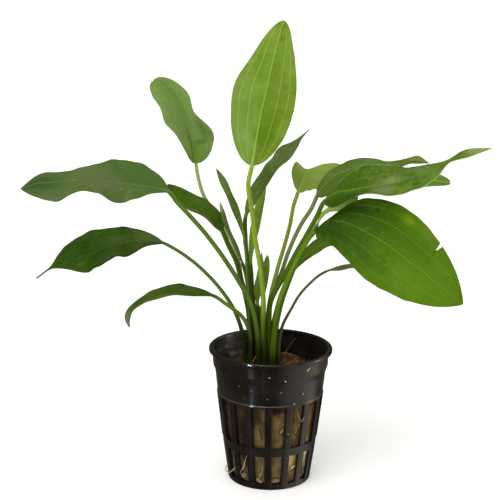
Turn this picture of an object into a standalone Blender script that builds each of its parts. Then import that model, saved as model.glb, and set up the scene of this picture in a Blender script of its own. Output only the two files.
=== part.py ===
"""Potted echinodorus: a rosette of 19 leaves growing from a plug of rockwool in a slotted net pot.

The origin is the middle of the pot's underside, +Z is up and the plant's front faces -Y.
Every leaf is one solid, stalk and blade together, lofted between three guide curves: its rib and its
two margins. Lengths are in millimetres here and become metres when a mesh is made.
"""
import math

import bmesh
import bpy
import numpy as np

MM = 0.001

# Pot: outer radii and heights from the foot to the rim, and its walls
POT_HEIGHT = 60.0
FOOT_RADIUS = 17.7
FOOT_ROUND = 0.6
LOWER_SLOTS = (2.7, 16.3)
LOWER_RADII = (18.45, 20.4)
UPPER_SLOTS = (20.2, 39.6)
UPPER_RADII = (20.9, 23.4)
BAND_HEIGHTS = (40.0, 50.0)
BAND_RADII = (23.2, 24.2)
COLLAR_BOTTOM = 52.5
COLLAR_RADII = (25.2, 25.4)
RIM_RADIUS = 27.0
RIM_LIP = 1.7
RIM_WIDTH = 2.0
EDGE_ROUND = 0.4
WALL = 1.1
FLOOR = 1.2

# Slots of the pot: the slats between those in the wall, and the ring of those in the floor
SLAT_COUNT = 16
SLAT_WIDTH = 3.2
SLAT_TURN = -92.2
FLOOR_SLOTS = (9.0, 15.5)

# Plug of rockwool: it stands clear of the pot's facets, and its top is a low mound with a pocket in it
GAP = 0.3
FACET_SLACK = 0.15
PLUG_SHOULDER = (22.3, 48.8)
PLUG_EDGE = (21.4, 50.6)
PLUG_MOUND = (14.5, 13.0)
PLUG_MOUND_TOP = 52.4
MOUND_ROUND = 0.4
POCKET_ROOM = 0.4
POCKET_LIP = 1.2
POCKET_BEVEL = 0.9
PLUG_SIDES = 32

# Rhizome sunk in the pocket: shape gives pairs of share of the half size and share of the depth
CROWN_MIDDLE = -3.7
CROWN_HALF_SIZE = (8.4, 6.0)
CROWN_TOP = 51.3
CROWN_DEPTH = 5.3
CROWN_SHAPE = ((0.6, 0.0), (0.88, 0.22), (1.0, 0.6), (0.97, 1.0))

# Leaves: where the stalks start, how thick a blade is and how it tapers
STALK_FOOT = CROWN_TOP + GAP + 0.1
BLADE_THICKNESS = 0.45
BLADE_TAPER = 0.8
RIB_TOP = 0.3
RIB_PROUD = 0.5
TIP_RADIUS = 0.12
RING_SIDES = 8
END_CROWDING = 0.6
ROUND_HALF = math.sqrt(0.5)
NUDGE = 0.001

# Colour and roughness of each material
MATERIALS = {
    "black": ((0.020, 0.018, 0.015, 1.0), 0.35),
    "rockwool": ((0.130, 0.098, 0.033, 1.0), 0.95),
    "rhizome": ((0.045, 0.040, 0.014, 1.0), 0.7),
    "bright": ((0.180, 0.330, 0.030, 1.0), 0.45),
    "mid": ((0.075, 0.170, 0.030, 1.0), 0.45),
    "grey": ((0.085, 0.160, 0.050, 1.0), 0.45),
    "dark": ((0.035, 0.105, 0.012, 1.0), 0.45),
    "pale": ((0.150, 0.260, 0.060, 1.0), 0.5),
}

# One entry a leaf. foot: x, y of the stalk's foot. radii: of the stalk at its foot and at the blade.
# ends: how blunt the blade's base and tip are, 0.5 round and 1 pointed. stalk and rib: points of the
# centre line, up to the blade and along it. left and right: the margins beside the rib's inner points.
# rings: cross-sections along the stalk and along the blade.
LEAVES = {
    # Tall leaf in the middle, seen from its pale underside
    "leaf_top": dict(
        foot=(-2.4, -3.6), radii=(1.1, 1.1), ends=(0.55, 0.75), rings=(7, 12), colour="bright",
        stalk=[(-3.5, -4.5, 70.5), (-3.5, -6, 81.5), (-5, -7, 97), (-7.5, -8, 111), (-9, -8.5, 123.5),
               (-10.5, -8.5, 133.5)],
        rib=[(-9, -8.5, 141.5), (-8, -9.5, 148), (-6, -10.5, 161), (-3.5, -10, 173), (-1, -7.5, 184.5),
             (1.5, -4, 194.5), (3.5, -1, 201)],
        left=[(-15.5, -7, 148), (-18, -7, 161), (-16.5, -6, 175.5), (-9, -4.5, 187.5), (-4, -2.5, 195)],
        right=[(0, -6.5, 146.5), (6.5, -6.5, 158.5), (9, -6, 171), (8.5, -4.5, 183.5), (7, -2.5, 193)]),
    # Upper left leaf with a waisted blade and a blunt tip
    "leaf_upper_left": dict(
        foot=(-8.0, 3.6), radii=(1.0, 0.8), ends=(0.5, 0.42), rings=(8, 12), colour="mid",
        stalk=[(-9.5, 4.5, 71.5), (-13, 7, 88), (-15, 9, 97.5), (-19.5, 11, 108.5), (-25.5, 14, 117),
               (-30, 16, 123.5), (-32, 16.5, 129.5)],
        rib=[(-33.5, 17, 137.5), (-34.5, 17.5, 143.5), (-36, 18, 150.5), (-38.5, 19, 158),
             (-42.5, 21, 164), (-47, 24, 169.5), (-52, 27, 173)],
        left=[(-38, 14, 143.5), (-42, 14, 150.5), (-46.5, 15.5, 155), (-49, 18, 161.5),
              (-52.5, 22, 166)],
        right=[(-26.5, 13, 144.5), (-26, 12, 152.5), (-34, 14, 160.5), (-36.5, 16, 168),
               (-43, 21, 173)]),
    # Long leaf to the left with a wavy lower margin
    "leaf_long_left": dict(
        foot=(-5.1, -3.7), radii=(1.1, 0.95), ends=(0.6, 0.85), rings=(9, 16), colour="grey",
        stalk=[(-6.5, -5.5, 71.5), (-9, -7, 81.5), (-12, -8.5, 88), (-14.5, -9.5, 92.5),
               (-21, -11, 103), (-28, -13, 113), (-35, -14.5, 121.5), (-40, -15, 127)],
        rib=[(-43.5, -15.5, 131.5), (-49, -16.5, 133), (-56, -18, 134.5), (-64.5, -20, 136),
             (-72, -22, 137.5), (-79, -24, 137.5), (-87.5, -26, 137), (-95.5, -27, 136.5),
             (-102.5, -28, 134.5)],
        left=[(-49.5, -10, 139), (-56.5, -10, 142.5), (-65.5, -11.5, 144), (-72.5, -15, 143),
              (-79.5, -18, 141.5), (-88.5, -20, 140), (-96, -23, 139.5)],
        right=[(-49, -19.5, 131.5), (-56, -24, 130), (-64, -27.5, 129), (-72, -28, 133),
               (-78.5, -30, 134), (-87.5, -33, 130.5), (-95.5, -31, 131.5)]),
    # Short dark leaf just behind the long one
    "leaf_short_dark": dict(
        foot=(-9.3, 1.2), radii=(1.0, 1.05), ends=(0.55, 0.6), rings=(7, 10), colour="dark",
        stalk=[(-9.5, 1, 71.5), (-11, 1, 82), (-13.5, 1, 91), (-15.5, 1.5, 98), (-18.5, 2, 104)],
        rib=[(-21.5, 2.5, 111), (-25, 3, 117.5), (-30, 4, 121.5), (-35, 5, 124), (-40, 6, 126.5),
             (-45.5, 7, 130)],
        left=[(-22.5, 6.5, 118), (-28, 10, 122.5), (-33.5, 11, 125), (-39, 10, 128)],
        right=[(-28.5, 1, 116.5), (-33, -1, 119.5), (-38, 0, 121.5), (-41.5, 3, 124.5)]),
    # Low left leaf with a thin drip tip
    "leaf_low_left": dict(
        foot=(-10.4, -1.2), radii=(0.9, 0.75), ends=(0.75, 1.0), rings=(7, 14), colour="dark",
        stalk=[(-13, -1, 68.5), (-16.5, 0.5, 77), (-21, 2, 83.5), (-28.5, 4.5, 91.5), (-35.5, 7, 97),
               (-42, 8.5, 101)],
        rib=[(-47.5, 10, 103.5), (-54.5, 11, 104.5), (-62, 12, 103.5), (-70, 13, 101.5), (-78, 14, 98),
             (-86.5, 14.5, 94.5), (-93, 14, 92), (-97.5, 13, 90.5), (-103.5, 11, 86.5)],
        left=[(-55, 14, 107.5), (-63, 18, 108.5), (-72.5, 21, 107.5), (-82.5, 22, 105),
              (-91, 21, 99.5), (-95, 17, 95.5), (-98, 13.5, 91)],
        right=[(-54, 8, 102.5), (-61.5, 5, 99), (-68.5, 4, 98), (-75.5, 5, 93.5), (-83, 7, 90.5),
               (-91.5, 11, 91), (-97, 12.5, 90.5)]),
    # Narrow leaf that arches forward and curls down at its tip
    "leaf_curled": dict(
        foot=(-9.0, -3.6), radii=(0.95, 0.8), ends=(0.7, 0.6), rings=(6, 12), colour="mid",
        stalk=[(-9, -4.5, 66.5), (-10, -5.5, 70.5), (-13, -7.5, 76), (-16, -9, 79), (-20, -11, 82.5)],
        rib=[(-24.5, -14, 86.5), (-33.5, -18, 89.5), (-42, -21, 90.5), (-48.5, -24, 89.5),
             (-55, -27, 87), (-58.5, -29, 83.5), (-60, -30, 80), (-59, -30, 77)],
        left=[(-34.5, -13, 90.5), (-42, -14, 91.5), (-50, -17, 89.5), (-56.5, -22, 86.5),
              (-60.5, -26, 83), (-61, -28, 80)],
        right=[(-33.5, -20.5, 88), (-41.5, -25, 89.5), (-48, -28, 88.5), (-53.5, -30, 87),
               (-57.5, -31.5, 84), (-58.5, -31.5, 80.5)]),
    # Young leaf, still half rolled
    "leaf_rolled": dict(
        foot=(-5.6, -1.2), radii=(1.0, 0.85), ends=(0.9, 0.8), rings=(6, 9), colour="dark",
        stalk=[(-7, -2, 72.5), (-9.5, -3.5, 85.5), (-10.5, -3.5, 96), (-11, -3.5, 103)],
        rib=[(-12, -4, 109.5), (-13.5, -4.5, 117), (-16, -5, 122.5), (-18.5, -6, 129),
             (-21, -6.5, 134.5), (-24, -7.5, 140)],
        left=[(-15, -3, 116), (-17.5, -3, 121.5), (-20, -3.5, 128), (-22.5, -5, 133.5)],
        right=[(-13, -3, 117), (-14.5, -2.5, 122.5), (-17.5, -3, 129), (-20, -4.5, 135)]),
    # Young spear with a pale tip
    "leaf_spear_pale": dict(
        foot=(-8.0, -1.2), radii=(0.9, 0.8), ends=(0.9, 0.9), rings=(5, 8), colour="dark",
        stalk=[(-9, -1, 73), (-10, -1, 84.5), (-11.5, -1.5, 94)],
        rib=[(-13, -2, 98.5), (-15.5, -2, 104.5), (-17.5, -2.5, 110), (-20.5, -3, 117.5),
             (-22, -3, 121.5), (-22.5, -3.5, 125)],
        left=[(-16, -1, 104), (-18.5, -1, 109.5), (-21.5, -2, 117), (-22.5, -2.5, 121.5)],
        right=[(-14.5, -1, 104.5), (-17, -1, 110), (-19.5, -2, 117.5), (-21, -2.5, 122)]),
    # Dark leaf behind the tall one, its tip drawn out to the right
    "leaf_behind_top": dict(
        foot=(-6.8, 1.5), radii=(1.0, 0.95), ends=(0.7, 1.1), rings=(6, 12), colour="dark",
        stalk=[(-7.5, 2.5, 72), (-9, 3.5, 84.5), (-10.5, 4.5, 96.5), (-11.5, 6, 107.5)],
        rib=[(-11.5, 7.5, 116.5), (-8, 9, 124), (-3.5, 11, 131), (1, 13.5, 137), (6, 16, 143),
             (10, 18.5, 146.5), (13, 20, 149.5), (16, 22, 152.5)],
        left=[(-10, 13, 126.5), (-6.5, 18, 132), (-1, 21.5, 139), (3.5, 22.5, 144.5), (8.5, 21.5, 147),
              (12, 20.5, 149.5)],
        right=[(-7, 7.5, 122.5), (-2, 8, 130.5), (2.5, 10, 137), (8, 13, 141.5), (11, 17, 145.5),
               (13, 19.5, 149)]),
    # Narrow leaf at the back
    "leaf_narrow_back": dict(
        foot=(-5.6, 3.6), radii=(0.85, 0.7), ends=(0.9, 1.0), rings=(5, 9), colour="mid",
        stalk=[(-6.5, 4.5, 70.5), (-8, 7, 81), (-8.5, 9.5, 89.5)],
        rib=[(-9, 11, 95), (-8.5, 13, 102), (-7, 15.5, 109.5), (-5.5, 18, 117), (-4, 20.5, 122.5),
             (-2.5, 23, 130.5)],
        left=[(-10, 14, 101.5), (-9.5, 18, 108.5), (-8, 21, 116), (-6, 23, 122.5)],
        right=[(-7.5, 12, 102), (-5.5, 14, 109), (-4, 16.5, 117), (-3, 19.5, 122.5)]),
    # Two young leaves in the heart of the rosette
    "leaf_young_right": dict(
        foot=(-3.2, -1.2), radii=(0.9, 0.8), ends=(0.9, 0.6), rings=(4, 6), colour="dark",
        stalk=[(-4, -1, 70), (-4, -1.5, 78)],
        rib=[(-3.5, -2.5, 82.5), (-3, -3, 88.5), (-2.5, -3.5, 95), (-2, -4, 102)],
        left=[(-4, -2, 88), (-4, -2.5, 95)],
        right=[(-2, -2, 88), (-1, -2.5, 95)]),
    "leaf_young_mid": dict(
        foot=(-4.3, 1.2), radii=(0.9, 0.9), ends=(0.9, 0.9), rings=(4, 7), colour="dark",
        stalk=[(-5.5, 1, 69.5), (-5.5, 0.5, 75)],
        rib=[(-6, 1, 79), (-6, 1, 84), (-5.5, 0.5, 92), (-4.5, 0, 98), (-4.5, 0, 102.5)],
        left=[(-7.5, 2.5, 83.5), (-6.5, 2, 91.5), (-5.5, 1, 97.5)],
        right=[(-4.5, 2.5, 83.5), (-3.5, 2, 91.5), (-3.5, 1, 97.5)]),
    # Leaf that bends away to the back, its pale underside to the front
    "leaf_pale_back": dict(
        foot=(-2.0, 1.2), radii=(1.0, 0.9), ends=(0.5, 0.7), rings=(7, 16), colour="pale",
        stalk=[(-1.5, 2, 70.5), (-0.5, 3.5, 80), (0.5, 4.5, 85), (3, 7.5, 94.5), (5.5, 10.5, 102.5),
               (8, 13, 112), (9.5, 15, 120)],
        rib=[(11.5, 16, 126), (12.5, 17.5, 128.5), (14, 21, 131.5), (15, 25, 132.5), (17, 29, 132.5),
             (21.5, 35, 132), (33, 41, 130.5), (49.5, 44, 128.5), (65.5, 44, 127), (75, 43, 126),
             (81.5, 41, 125.5)],
        left=[(9, 18.5, 130), (8.5, 22, 133.5), (10.5, 27.5, 137), (14.5, 33, 133), (22, 43, 133),
              (33.5, 50, 132.5), (50.5, 53, 130.5), (66.5, 51, 129.5), (76, 45.5, 129)],
        right=[(14.5, 16.5, 126), (16.5, 17, 126), (19, 18.5, 126.5), (21.5, 21.5, 126),
               (26.5, 27, 125.5), (35, 33, 125), (50, 36, 124), (64.5, 38, 123.5), (75.5, 41, 124)]),
    # Upper right leaf, behind the long one
    "leaf_upper_right": dict(
        foot=(-3.2, 3.6), radii=(0.9, 0.95), ends=(0.55, 0.9), rings=(7, 13), colour="dark",
        stalk=[(-1.5, 5.5, 71), (0.5, 7.5, 82), (4, 8.5, 90), (7.5, 8.5, 101), (13, 8.5, 113.5),
               (17, 8.5, 120)],
        rib=[(19.5, 8, 126), (22.5, 8, 130.5), (27, 9, 134.5), (33.5, 11, 137), (41.5, 13, 138.5),
             (52, 15, 138.5), (59.5, 15.5, 139.5), (64.5, 15.5, 139.5), (68, 15.5, 139)],
        left=[(20.5, 11, 131), (25, 15, 135.5), (32.5, 18, 139), (41, 20, 140.5), (52, 20, 139),
              (60, 18.5, 141), (64.5, 17.5, 141.5)],
        right=[(23.5, 4, 126.5), (30.5, 3, 129), (36.5, 3.5, 131.5), (44, 5.5, 133.5),
               (52.5, 10, 136.5), (60, 13.5, 139), (64.5, 14, 139)]),
    # Long leaf to the right: folded at its base, twisted to a neck before its tip
    "leaf_long_right": dict(
        foot=(-0.6, -1.2), radii=(1.2, 1.05), ends=(0.6, 0.85), rings=(7, 17), colour="mid",
        stalk=[(-1, -2, 73.5), (-0.5, -2.5, 80.5), (1.5, -2.5, 85.5), (5.5, -3, 93),
               (9.5, -3.5, 101.5), (14, -4, 110), (18.5, -5, 119)],
        rib=[(22, -6, 126.5), (26, -7, 130), (32, -9, 131.5), (39.5, -11.5, 133.5),
             (48.5, -13.5, 135.5), (57, -15, 138.5), (64.5, -15.5, 141.5), (72, -15.5, 145.5),
             (80.5, -14.5, 149), (90, -12.5, 150.5)],
        left=[(26, -1.5, 131), (31, 1, 136), (38.5, 0, 140.5), (48, -3.5, 141.5), (56.5, -8, 141.5),
              (63.5, -12.5, 143.5), (71.5, -15, 146), (79.5, -12.5, 150)],
        right=[(24.5, -6, 123.5), (30.5, -8, 126.5), (38, -12, 130.5), (48, -20, 131.5),
               (58, -22.5, 134.5), (66.5, -20, 139), (72.5, -16.5, 145), (81, -16, 147.5)]),
    # Small pale leaf between the two big ones on the right
    "leaf_strip": dict(
        foot=(-0.8, 3.6), radii=(0.85, 0.75), ends=(0.8, 0.6), rings=(6, 8), colour="pale",
        stalk=[(1.5, 4.5, 71.5), (4.5, 5, 83), (9, 5.5, 94), (15, 5.5, 105)],
        rib=[(20, 5, 114.5), (21.5, 5, 117.5), (24, 5, 119.5), (27.5, 5.5, 121), (32, 6, 123),
             (37, 7, 125.5)],
        left=[(20.5, 4.5, 118), (23.5, 6.5, 120.5), (27, 8.5, 122), (31, 9.5, 124)],
        right=[(22, 3.5, 117.5), (24.5, 3, 119.5), (28.5, 2.5, 120), (33, 3.5, 121.5)]),
    # Big leaf at the lower right, with a short tear in its upper margin
    "leaf_big_right": dict(
        foot=(0.6, -3.6), radii=(1.15, 1.0), ends=(0.45, 0.8), rings=(7, 13), colour="mid",
        stalk=[(1.5, -4, 68.5), (2, -5, 75), (3.5, -6, 82.5), (7.5, -7.5, 94.5), (11, -9, 103),
               (14.5, -11, 110)],
        rib=[(18.5, -15, 116), (22.5, -16.5, 119.5), (29, -19, 120), (37, -23, 117.5),
             (45.5, -28.5, 113.5), (54, -34, 108), (63, -39, 102), (70.5, -42.5, 96.5),
             (76, -44, 92.5)],
        left=[(23, -13, 120), (31.5, -10.5, 126), (42, -13, 129), (54, -19, 126.5), (63, -26, 120),
              (70, -34.5, 111), (74, -41, 102.5)],
        right=[(20, -19, 112.5), (24, -24, 111.5), (30, -29, 106.5), (37.5, -36, 100), (46.5, -41, 96),
               (55.5, -44, 93), (66.5, -45, 91.5)]),
    # Leaf mostly hidden behind the big one
    "leaf_behind_big": dict(
        foot=(1.0, 1.2), radii=(1.0, 0.9), ends=(0.7, 0.8), rings=(6, 9), colour="dark",
        stalk=[(2, 1, 65.5), (3, 1, 72.5), (4.5, 1, 79.5), (7, 0.5, 87.5)],
        rib=[(9.5, 0.5, 94), (13.5, 1, 99), (18, 2.5, 103), (24, 5, 106.5), (31.5, 8, 108.5),
             (39.5, 11, 108)],
        left=[(12, 2.5, 100.5), (16.5, 6.5, 104.5), (22, 12, 107.5), (31, 16, 111.5)],
        right=[(14, -1.5, 98.5), (19.5, -2, 102.5), (25.5, -0.5, 105.5), (33.5, 3, 105.5)]),
    # Thin arching leaf to the right
    "leaf_thin_right": dict(
        foot=(3.2, 0.6), radii=(0.7, 0.6), ends=(0.9, 0.8), rings=(8, 8), colour="dark",
        stalk=[(4, 2.5, 64), (5, 3.5, 68), (9, 6, 75.5), (12.5, 8.5, 81), (17, 11, 85.5),
               (21.5, 13, 89)],
        rib=[(25, 14.5, 90.5), (30.5, 16.5, 91.5), (36.5, 18, 92), (43, 19, 91), (50.5, 20, 88.5)],
        left=[(30.5, 18, 92), (37, 20.5, 92.5), (44.5, 22, 92.5)],
        right=[(30.5, 15, 90.5), (36, 15.5, 91.5), (42.5, 16, 89)]),
}

# The tear: which leaf, how far along the blade, its half width there and how deep it cuts the left half
TEAR_LEAF = "leaf_big_right"
TEAR_PLACE = 0.715
TEAR_HALF_WIDTH = 0.012
TEAR_DEPTH = 0.27


def clear_scene():
    for thing in list(bpy.data.objects):
        bpy.data.objects.remove(thing, do_unlink=True)


def make_material(name, look):
    colour, roughness = MATERIALS[look]
    material = bpy.data.materials.new(name)
    material.use_nodes = True
    shader = material.node_tree.nodes["Principled BSDF"]
    shader.inputs["Base Color"].default_value = colour
    shader.inputs["Roughness"].default_value = roughness
    shader.inputs["Metallic"].default_value = 0.0
    return material


def make_object(name, points, faces, look, sharp_angle=40.0):
    """One closed mesh object from points in millimetres."""
    shape = bmesh.new()
    corners = [shape.verts.new(tuple(c * MM for c in point)) for point in points]
    for face in faces:
        shape.faces.new([corners[i] for i in face])
    bmesh.ops.recalc_face_normals(shape, faces=shape.faces[:])
    if shape.calc_volume(signed=True) < 0.0:
        bmesh.ops.reverse_faces(shape, faces=shape.faces[:])
    mesh = bpy.data.meshes.new(name)
    shape.to_mesh(mesh)
    shape.free()
    mesh.shade_smooth()
    mesh.set_sharp_from_angle(angle=math.radians(sharp_angle))
    thing = bpy.data.objects.new(name, mesh)
    thing.data.materials.append(make_material(name, look))
    bpy.context.collection.objects.link(thing)
    return thing


def distances_along(points):
    """How far along its own length each point lies, from 0 to 1."""
    steps = np.linalg.norm(np.diff(points, axis=0), axis=1)
    return np.concatenate([[0.0], np.cumsum(steps)]) / steps.sum()


def smooth_curve(points, knots, places):
    """Points at the given places on the smooth curve that passes each point at its knot."""
    spans = np.diff(knots)
    slopes = np.diff(points, axis=0) / spans[:, None]
    turns = np.vstack([slopes[:1], slopes[1:], slopes[-1:]])
    for i in range(1, len(points) - 1):
        turns[i] = (slopes[i - 1] * spans[i] + slopes[i] * spans[i - 1]) / (spans[i] + spans[i - 1])
    found = []
    for place in places:
        i = min(max(int(np.searchsorted(knots, place, side="right")) - 1, 0), len(spans) - 1)
        s = (place - knots[i]) / spans[i]
        start = (1 + 2 * s) * (1 - s) ** 2 * points[i] + s * (1 - s) ** 2 * spans[i] * turns[i]
        end = s * s * (3 - 2 * s) * points[i + 1] + s * s * (s - 1) * spans[i] * turns[i + 1]
        found.append(start + end)
    return np.array(found)


def unit(vector):
    return vector / np.linalg.norm(vector)


def mix(first, second, share):
    return first + (second - first) * share


def swell(places, ends):
    """How a blade widens from its base and narrows to its tip."""
    from_base = np.maximum(places, 0.0) ** ends[0]
    to_tip = np.maximum(1.0 - places, 0.0) ** ends[1]
    return (from_base * to_tip)[:, None]


def blade_places(count):
    """Places along a blade, closer together near its two ends."""
    even = np.linspace(0.0, 1.0, count + 1)
    return mix(even, 0.5 - 0.5 * np.cos(math.pi * even), END_CROWDING)


def margin_curve(margin, rib, rib_knots, ends, places):
    """Reach from the rib to one margin at the given places, and its direction."""
    shape = (np.array(margin) - rib[1:-1]) / swell(rib_knots[1:-1], ends)
    shape = np.vstack([shape[:1], shape, shape[-1:]])
    direction = smooth_curve(shape, rib_knots, places)
    return direction * swell(places, ends), direction


def leaf_ring(middle, along, reaches, ways, radius):
    """Eight points round a leaf: a round stalk where both reaches are nil, a thin blade elsewhere.

    reaches and ways give the reach to the margin and its direction, each for the left and the right.
    """
    edge_left, edge_right = (unit(way) * math.hypot(np.linalg.norm(reach), radius)
                             for reach, way in zip(reaches, ways))
    side = edge_right - edge_left
    side = unit(side - along * side.dot(along))
    up = np.cross(side, along)
    flat_left = 1.0 - radius ** 2 / edge_left.dot(edge_left)
    flat_right = 1.0 - radius ** 2 / edge_right.dot(edge_right)
    half_left = edge_left * mix(ROUND_HALF, 0.5, flat_left)
    half_right = edge_right * mix(ROUND_HALF, 0.5, flat_right)
    thick_left = up * mix(ROUND_HALF * radius, 0.5 * BLADE_THICKNESS, flat_left)
    thick_right = up * mix(ROUND_HALF * radius, 0.5 * BLADE_THICKNESS, flat_right)
    top = up * mix(radius, RIB_TOP, flat_left)
    under = up * mix(radius, RIB_TOP + RIB_PROUD * radius, flat_left)
    ring = [edge_left, half_left + thick_left, top, half_right + thick_right,
            edge_right, half_right - thick_right, -under, half_left - thick_left]
    return [middle + point for point in ring]


def leaf_rings(leaf, torn):
    """Cross-sections of one leaf from the foot of its stalk to the tip of its blade."""
    rib = np.array(leaf["rib"], float)
    foot = (leaf["foot"][0], leaf["foot"][1], STALK_FOOT)
    line = np.vstack([[foot], leaf["stalk"], rib])
    knots = distances_along(line)
    start = knots[len(leaf["stalk"]) + 1]
    rib_knots = (knots[len(leaf["stalk"]) + 1:] - start) / (1.0 - start)
    stalk_places = np.linspace(0.0, start, leaf["rings"][0], endpoint=False)
    places = blade_places(leaf["rings"][1])
    cut = np.zeros_like(places)
    if torn:
        edges = (TEAR_PLACE - TEAR_HALF_WIDTH, TEAR_PLACE, TEAR_PLACE + TEAR_HALF_WIDTH)
        places = np.sort(np.concatenate([places, edges]))
        cut = np.where(places == TEAR_PLACE, TEAR_DEPTH, 0.0)
    left, left_way = margin_curve(leaf["left"], rib, rib_knots, leaf["ends"], places)
    right, right_way = margin_curve(leaf["right"], rib, rib_knots, leaf["ends"], places)
    left = left * (1.0 - cut)[:, None]
    line_places = np.concatenate([stalk_places, start + places * (1.0 - start)])
    middles = smooth_curve(line, knots, line_places)
    ahead = smooth_curve(line, knots, np.minimum(line_places + NUDGE, 1.0))
    behind = smooth_curve(line, knots, np.maximum(line_places - NUDGE, 0.0))
    stalk_side = unit(right_way[0]) - unit(left_way[0])
    nil = np.zeros(3)
    thick, thin = leaf["radii"]
    rings = []
    for i, place in enumerate(line_places):
        along = unit(ahead[i] - behind[i])
        k = i - len(stalk_places)
        if k < 0:
            side = unit(stalk_side - along * stalk_side.dot(along))
            radius = mix(thick, thin, place / start)
            rings.append(leaf_ring(middles[i], along, (nil, nil), (-side, side), radius))
        else:
            reaches = (left[k], right[k])
            ways = (left_way[k], right_way[k])
            radius = max(thin * (1.0 - places[k]) ** BLADE_TAPER, TIP_RADIUS)
            rings.append(leaf_ring(middles[i], along, reaches, ways, radius))
    return rings


def make_leaf(name, leaf):
    """One closed body; the upper and the under side are cut into triangles along the same diagonals."""
    rings = leaf_rings(leaf, torn=name == TEAR_LEAF)
    points = [tuple(point) for ring in rings for point in ring]
    faces = [tuple(range(RING_SIDES)), tuple(range(len(points) - RING_SIDES, len(points)))]
    for level in range(len(rings) - 1):
        for k in range(RING_SIDES):
            a = level * RING_SIDES + k
            b = level * RING_SIDES + (k + 1) % RING_SIDES
            if k < RING_SIDES // 2:
                faces += [(a, b, b + RING_SIDES), (a, b + RING_SIDES, a + RING_SIDES)]
            else:
                faces += [(a, b, a + RING_SIDES), (b, b + RING_SIDES, a + RING_SIDES)]
    return make_object(name, points, faces, leaf["colour"])


def pot_profile():
    """Radius, height pairs: up the outside of the pot from under its middle, then down the inside."""
    lower = list(zip(LOWER_RADII, LOWER_SLOTS))
    upper = list(zip(UPPER_RADII, UPPER_SLOTS))
    band = list(zip(BAND_RADII, BAND_HEIGHTS))
    rim_under = POT_HEIGHT - RIM_LIP
    rim_inner = RIM_RADIUS - RIM_WIDTH
    outside = [(FLOOR_SLOTS[0], 0.0), (FLOOR_SLOTS[1], 0.0), (FOOT_RADIUS, 0.0),
               (FOOT_RADIUS + FOOT_ROUND, FOOT_ROUND)]
    outside += lower + upper + [(BAND_RADII[0], BAND_HEIGHTS[0] + EDGE_ROUND), band[1]]
    outside += [(COLLAR_RADII[0], COLLAR_BOTTOM), (COLLAR_RADII[1], rim_under - EDGE_ROUND),
                (RIM_RADIUS, rim_under), (RIM_RADIUS, POT_HEIGHT - EDGE_ROUND),
                (RIM_RADIUS - EDGE_ROUND, POT_HEIGHT)]
    inside = [(rim_inner + EDGE_ROUND, POT_HEIGHT), (rim_inner, POT_HEIGHT - EDGE_ROUND)]
    for radius, height in [(COLLAR_RADII[0], COLLAR_BOTTOM), band[1]]:
        inside.append((radius - WALL, height - EDGE_ROUND))
    inside += [(radius - WALL, height) for radius, height in reversed(lower + upper)]
    inside += [(FOOT_RADIUS - FOOT_ROUND, FLOOR), (FLOOR_SLOTS[1], FLOOR), (FLOOR_SLOTS[0], FLOOR)]
    return outside, inside


def slot_columns(radius):
    """Angles round the pot at one level: each slat's two edges, then the middle of the next slot."""
    pitch = 2.0 * math.pi / SLAT_COUNT
    half = 0.5 * SLAT_WIDTH / max(radius, FOOT_RADIUS)
    angles = []
    for slat in range(SLAT_COUNT):
        middle = math.radians(SLAT_TURN) + slat * pitch
        angles += [middle - half, middle + half, middle + 0.5 * pitch]
    return angles


def make_pot():
    """A turned shell with two rows of slots in its wall and one row in its floor."""
    outside, inside = pot_profile()
    profile = outside + inside
    columns = 3 * SLAT_COUNT
    points = [(0.0, 0.0, 0.0)]
    for radius, height in profile:
        points += [(radius * math.cos(a), radius * math.sin(a), height) for a in slot_columns(radius)]
    points.append((0.0, 0.0, FLOOR))
    lower_bottom = outside.index((LOWER_RADII[0], LOWER_SLOTS[0]))
    twins = {}
    for level in (0, lower_bottom, lower_bottom + 2):
        twins[level] = len(profile) - 1 - level
        if level:
            twins[level] = profile.index((outside[level][0] - WALL, outside[level][1]))
    inner_slots = [twin - 1 for twin in twins.values()]

    def corner(level, column):
        return 1 + level * columns + column % columns

    def band(level, other, column):
        return (corner(level, column), corner(level, column + 1), corner(other, column + 1),
                corner(other, column))

    def reveal(level, column):
        twin = twins[level]
        return (corner(level, column), corner(level + 1, column), corner(twin - 1, column),
                corner(twin, column))

    faces = []
    for column in range(columns):
        in_slot = column % 3 != 0
        faces.append((0, corner(0, column), corner(0, column + 1)))
        faces.append((len(points) - 1, corner(len(profile) - 1, column),
                      corner(len(profile) - 1, column + 1)))
        for level in range(len(profile) - 1):
            if not in_slot or (level not in twins and level not in inner_slots):
                faces.append(band(level, level + 1, column))
        if in_slot:
            for level, twin in twins.items():
                faces += [band(level, twin, column), band(level + 1, twin - 1, column)]
                faces.append(reveal(level, column if column % 3 == 1 else column + 1))
    return make_object("pot", points, faces, "black", sharp_angle=30.0)


def make_turned(name, levels, look):
    """A closed body from rings of (middle x, half size x, half size y, height), bottom to top and in."""
    points = [(levels[0][0], 0.0, levels[0][3])]
    for middle, half_x, half_y, height in levels:
        for k in range(PLUG_SIDES):
            angle = 2.0 * math.pi * k / PLUG_SIDES
            points.append((middle + half_x * math.cos(angle), half_y * math.sin(angle), height))
    points.append((levels[-1][0], 0.0, levels[-1][3]))
    last = 1 + (len(levels) - 1) * PLUG_SIDES
    faces = []
    for k in range(PLUG_SIDES):
        nxt = (k + 1) % PLUG_SIDES
        faces.append((0, 1 + k, 1 + nxt))
        faces.append((len(points) - 1, last + k, last + nxt))
        for base in range(1, last, PLUG_SIDES):
            faces.append((base + k, base + nxt, base + PLUG_SIDES + nxt, base + PLUG_SIDES + k))
    return make_object(name, points, faces, look)


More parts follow.
